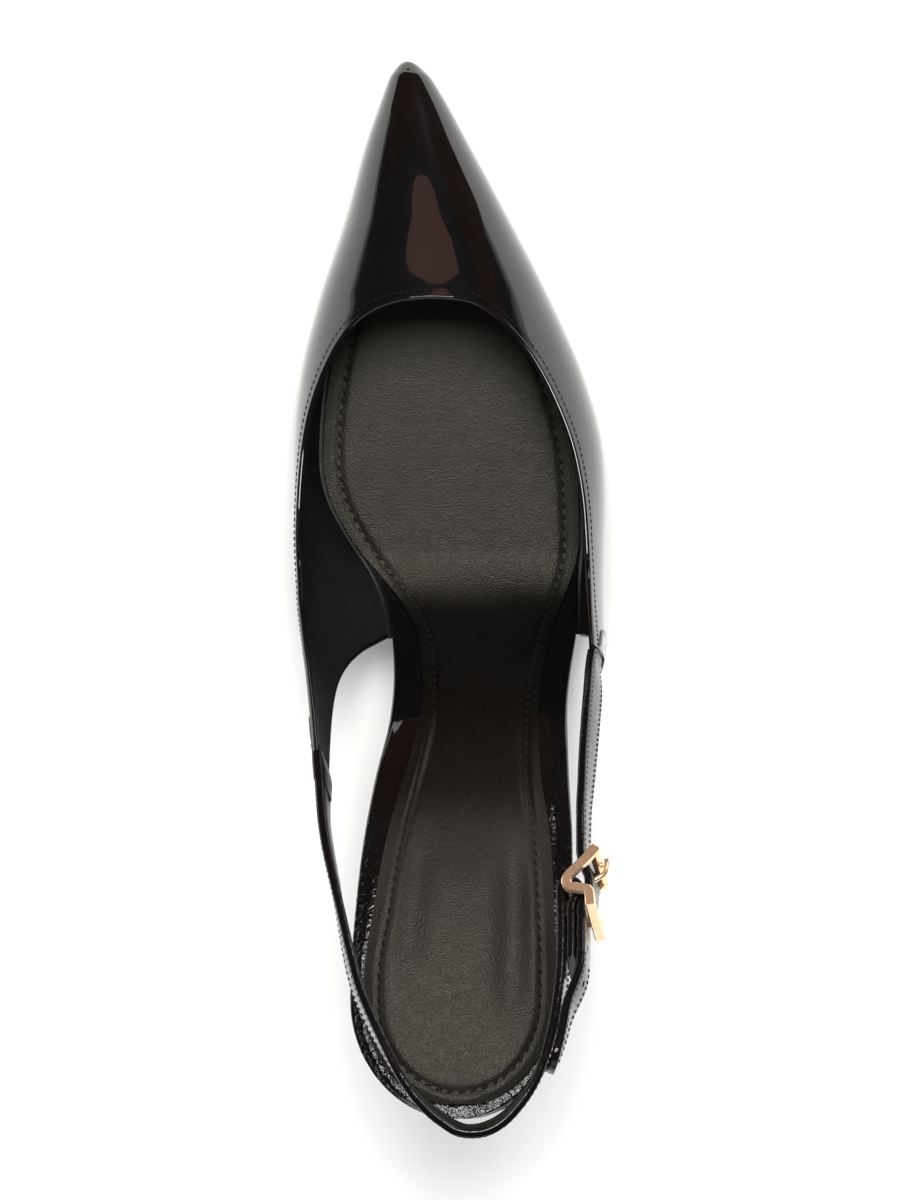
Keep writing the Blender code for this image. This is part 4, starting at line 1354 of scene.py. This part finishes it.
def bar_ring(spot, face, outer):
    """Cross-section of a flat, soft-edged bar. Face is its broad direction, outer points out of the loop."""
    broad = RAIL_FLAT
    thin = RAIL_THIN
    soft = RAIL_SOFT
    corners = (
        (broad - soft, thin), (broad, thin - soft), (broad, soft - thin), (broad - soft, -thin),
        (soft - broad, -thin), (-broad, soft - thin), (-broad, thin - soft), (soft - broad, thin),
    )
    return [spot + face * a + outer * b for a, b in corners]


def make_buckle():
    """Gold slide frame of flat bars with its round middle bar, and the prong."""
    front, rear = bar_heights()
    half = STRAP_WIDTH / 2 + RAIL_ROOM + RAIL
    reach = BUCKLE_REACH
    back = BUCKLE_BACK
    bends = (
        (reach, front), (0.72 * reach, 0.68 * front), (0.44 * reach, 0.32 * front), (0.16 * reach, 0.0),
        (-0.17 * back, 0.0), (-0.30 * back, 0.45 * rear), (-0.46 * back, 0.92 * rear), (-back, rear),
    )
    _, forward, outward, upward = sling_frames()[-1]
    steps = 42
    side = [spline(bends, k / steps) for k in range(steps + 1)]
    places = []
    for k, (a, n) in enumerate(side):
        ahead = side[min(k + 1, steps)]
        behind = side[max(k - 1, 0)]
        run = (forward * (ahead[0] - behind[0]) + outward * (ahead[1] - behind[1])).normalized()
        face = upward.cross(run).normalized()
        if face.dot(outward) < 0:
            face = -face
        corner = {0: -run, steps: run}.get(k, Vector())
        places.append((a, n, face, corner))
    rings = []
    for sign, order in ((1, places), (-1, places[::-1])):
        for a, n, face, corner in order:
            rings.append(bar_ring(from_bar(a, n, sign * half), face, upward * sign + corner))
    rails = loft("buckle_rails", rings, GOLD, closed=True, sharp=35)
    bar = swept("buckle_bar", [from_bar(0, 0, -half), from_bar(0, 0, half)], BAR, GOLD, sides=14)
    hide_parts("buckle_frame")
    rows = [tuple(p) for p in prong_line(BAR + GAP + PRONG)]
    prong = swept("prong_skin", [Vector(spline(rows, k / 30)) for k in range(31)], PRONG, GOLD, sides=14)
    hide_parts("buckle_prong")


def make_world():
    """Room round the floor: pale to look at, dark and a little brown ahead of the toe in reflections."""
    world = bpy.data.worlds.new("studio")
    bpy.context.scene.world = world
    world.use_nodes = True
    tree = world.node_tree
    room = tree.nodes["Background"]
    look = tree.nodes.new("ShaderNodeTexCoord").outputs["Generated"]
    greys = [(position, (grey, grey, grey)) for position, grey in ((0.0, 0.9), (0.03, 0.5), (0.09, 0.02))]
    rise = ramp_of(tree, axis(tree, look, "Z"), *greys)
    ahead = ramp_of(tree, axis(tree, look, "Y"), (0.80, (0.0, 0.0, 0.0)), (0.94, (1.0, 1.0, 1.0)))
    mixed = tree.nodes.new("ShaderNodeMix")
    mixed.data_type = "RGBA"
    tree.links.new(ahead, mixed.inputs[0])
    tree.links.new(rise, mixed.inputs[6])
    mixed.inputs[7].default_value = (0.16, 0.085, 0.065, 1)
    tree.links.new(mixed.outputs[2], room.inputs["Color"])
    wall = tree.nodes.new("ShaderNodeBackground")
    wall.inputs["Color"].default_value = (0.92, 0.92, 0.92, 1)
    seen = tree.nodes.new("ShaderNodeLightPath").outputs["Is Camera Ray"]
    choice = tree.nodes.new("ShaderNodeMixShader")
    tree.links.new(seen, choice.inputs["Fac"])
    tree.links.new(room.outputs["Background"], choice.inputs[1])
    tree.links.new(wall.outputs["Background"], choice.inputs[2])
    tree.links.new(choice.outputs["Shader"], tree.nodes["World Output"].inputs["Surface"])


def stage_sheet(name, corners, surface):
    """Flat sheet of the stage."""
    shape = bmesh.new()
    shape.faces.new([shape.verts.new(spot) for spot in corners])
    sheet = bpy.data.objects.new(name, mesh_of(shape, name))
    bpy.context.scene.collection.objects.link(sheet)
    sheet.data.materials.append(surface)
    return sheet


def matt_surface(name, colour, roughness):
    """Matt material of the stage."""
    made, _, shader = surface_with(name, colour, roughness)
    shader.inputs["Specular IOR Level"].default_value = 0.0
    return made


# Lights: name, place, size, twist, power, tint, and whether it shows in reflections
LIGHTS = (
    ("sky", (0.0, 0.1, 2.2), (3.0, 3.0), 0.0, 66, (1.0, 0.995, 0.985), False),
    ("crown", (0.0, 0.68, 1.95), (0.9, 0.9), 0.0, 36, (1.0, 0.99, 0.96), True),
    ("warm_strip", (-0.071, 1.049, 1.30), (1.645, 0.164), 0.10, 0.50, (1.0, 0.47, 0.36), True),
    ("back_box", (0.0, -1.7, 1.0), (1.8, 1.0), 0.0, 6, (1.0, 0.99, 0.98), True),
    ("spark", (0.26, 0.68, 0.40), (0.16, 0.12), 0.0, 0.6, (1.0, 0.99, 0.98), True),
)
LIGHTS_AIM = Vector((0, -0.02, 0.03))
FLOOR_HALF = 4
FLAG_HALF = 0.26
FLAG_AT = 0.26
FLAG_LOW = 0.004
FLAG_HIGH = 0.19


def make_stage():
    """Floor, a low brown card ahead of the toe that only reflections see, lights and camera."""
    size = FLOOR_HALF
    stage_sheet("floor", ((-size, -size, 0), (size, -size, 0), (size, size, 0), (-size, size, 0)),
                matt_surface("paper", (0.90, 0.90, 0.90), 0.8))
    ends = ((-FLAG_HALF, FLAG_LOW), (FLAG_HALF, FLAG_LOW), (FLAG_HALF, FLAG_HIGH), (-FLAG_HALF, FLAG_HIGH))
    flag = stage_sheet("flag", [(x, FLAG_AT, z) for x, z in ends],
                       matt_surface("flag_cloth", (0.07, 0.026, 0.017), 0.9))
    flag.visible_camera = False
    flag.visible_diffuse = False
    flag.visible_shadow = False
    make_world()
    for name, spot, size, twist, power, tint, mirrored in LIGHTS:
        light = bpy.data.lights.new(name, "AREA")
        light.shape = "RECTANGLE"
        light.size, light.size_y = size
        light.energy = power
        light.color = tint
        lamp = bpy.data.objects.new(name, light)
        lamp.visible_glossy = mirrored
        lamp.location = spot
        aim = (LIGHTS_AIM - Vector(spot)).to_track_quat("-Z", "Y")
        lamp.rotation_euler = (aim @ Quaternion((0, 0, 1), twist)).to_euler()
        bpy.context.scene.collection.objects.link(lamp)
    bpy.context.scene.view_settings.view_transform = "Standard"
    camera = bpy.data.cameras.new("camera")
    camera.sensor_fit = "VERTICAL"
    camera.sensor_height = 36
    camera.lens = 184.5
    camera.clip_start = 0.01
    eye = bpy.data.objects.new("camera", camera)
    eye.location = (0, -0.027, 1.5)
    bpy.context.scene.collection.objects.link(eye)
    bpy.context.scene.camera = eye


make_upper()
make_edges()
make_upper_stitches()
make_flange()
make_outsole()
make_board()
make_sock()
make_heel()
make_sling()
make_buckle_strap()
make_buckle()
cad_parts["heel_tip"].data.materials.clear()
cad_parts["heel_tip"].data.materials.append(RUBBER)
make_stage()
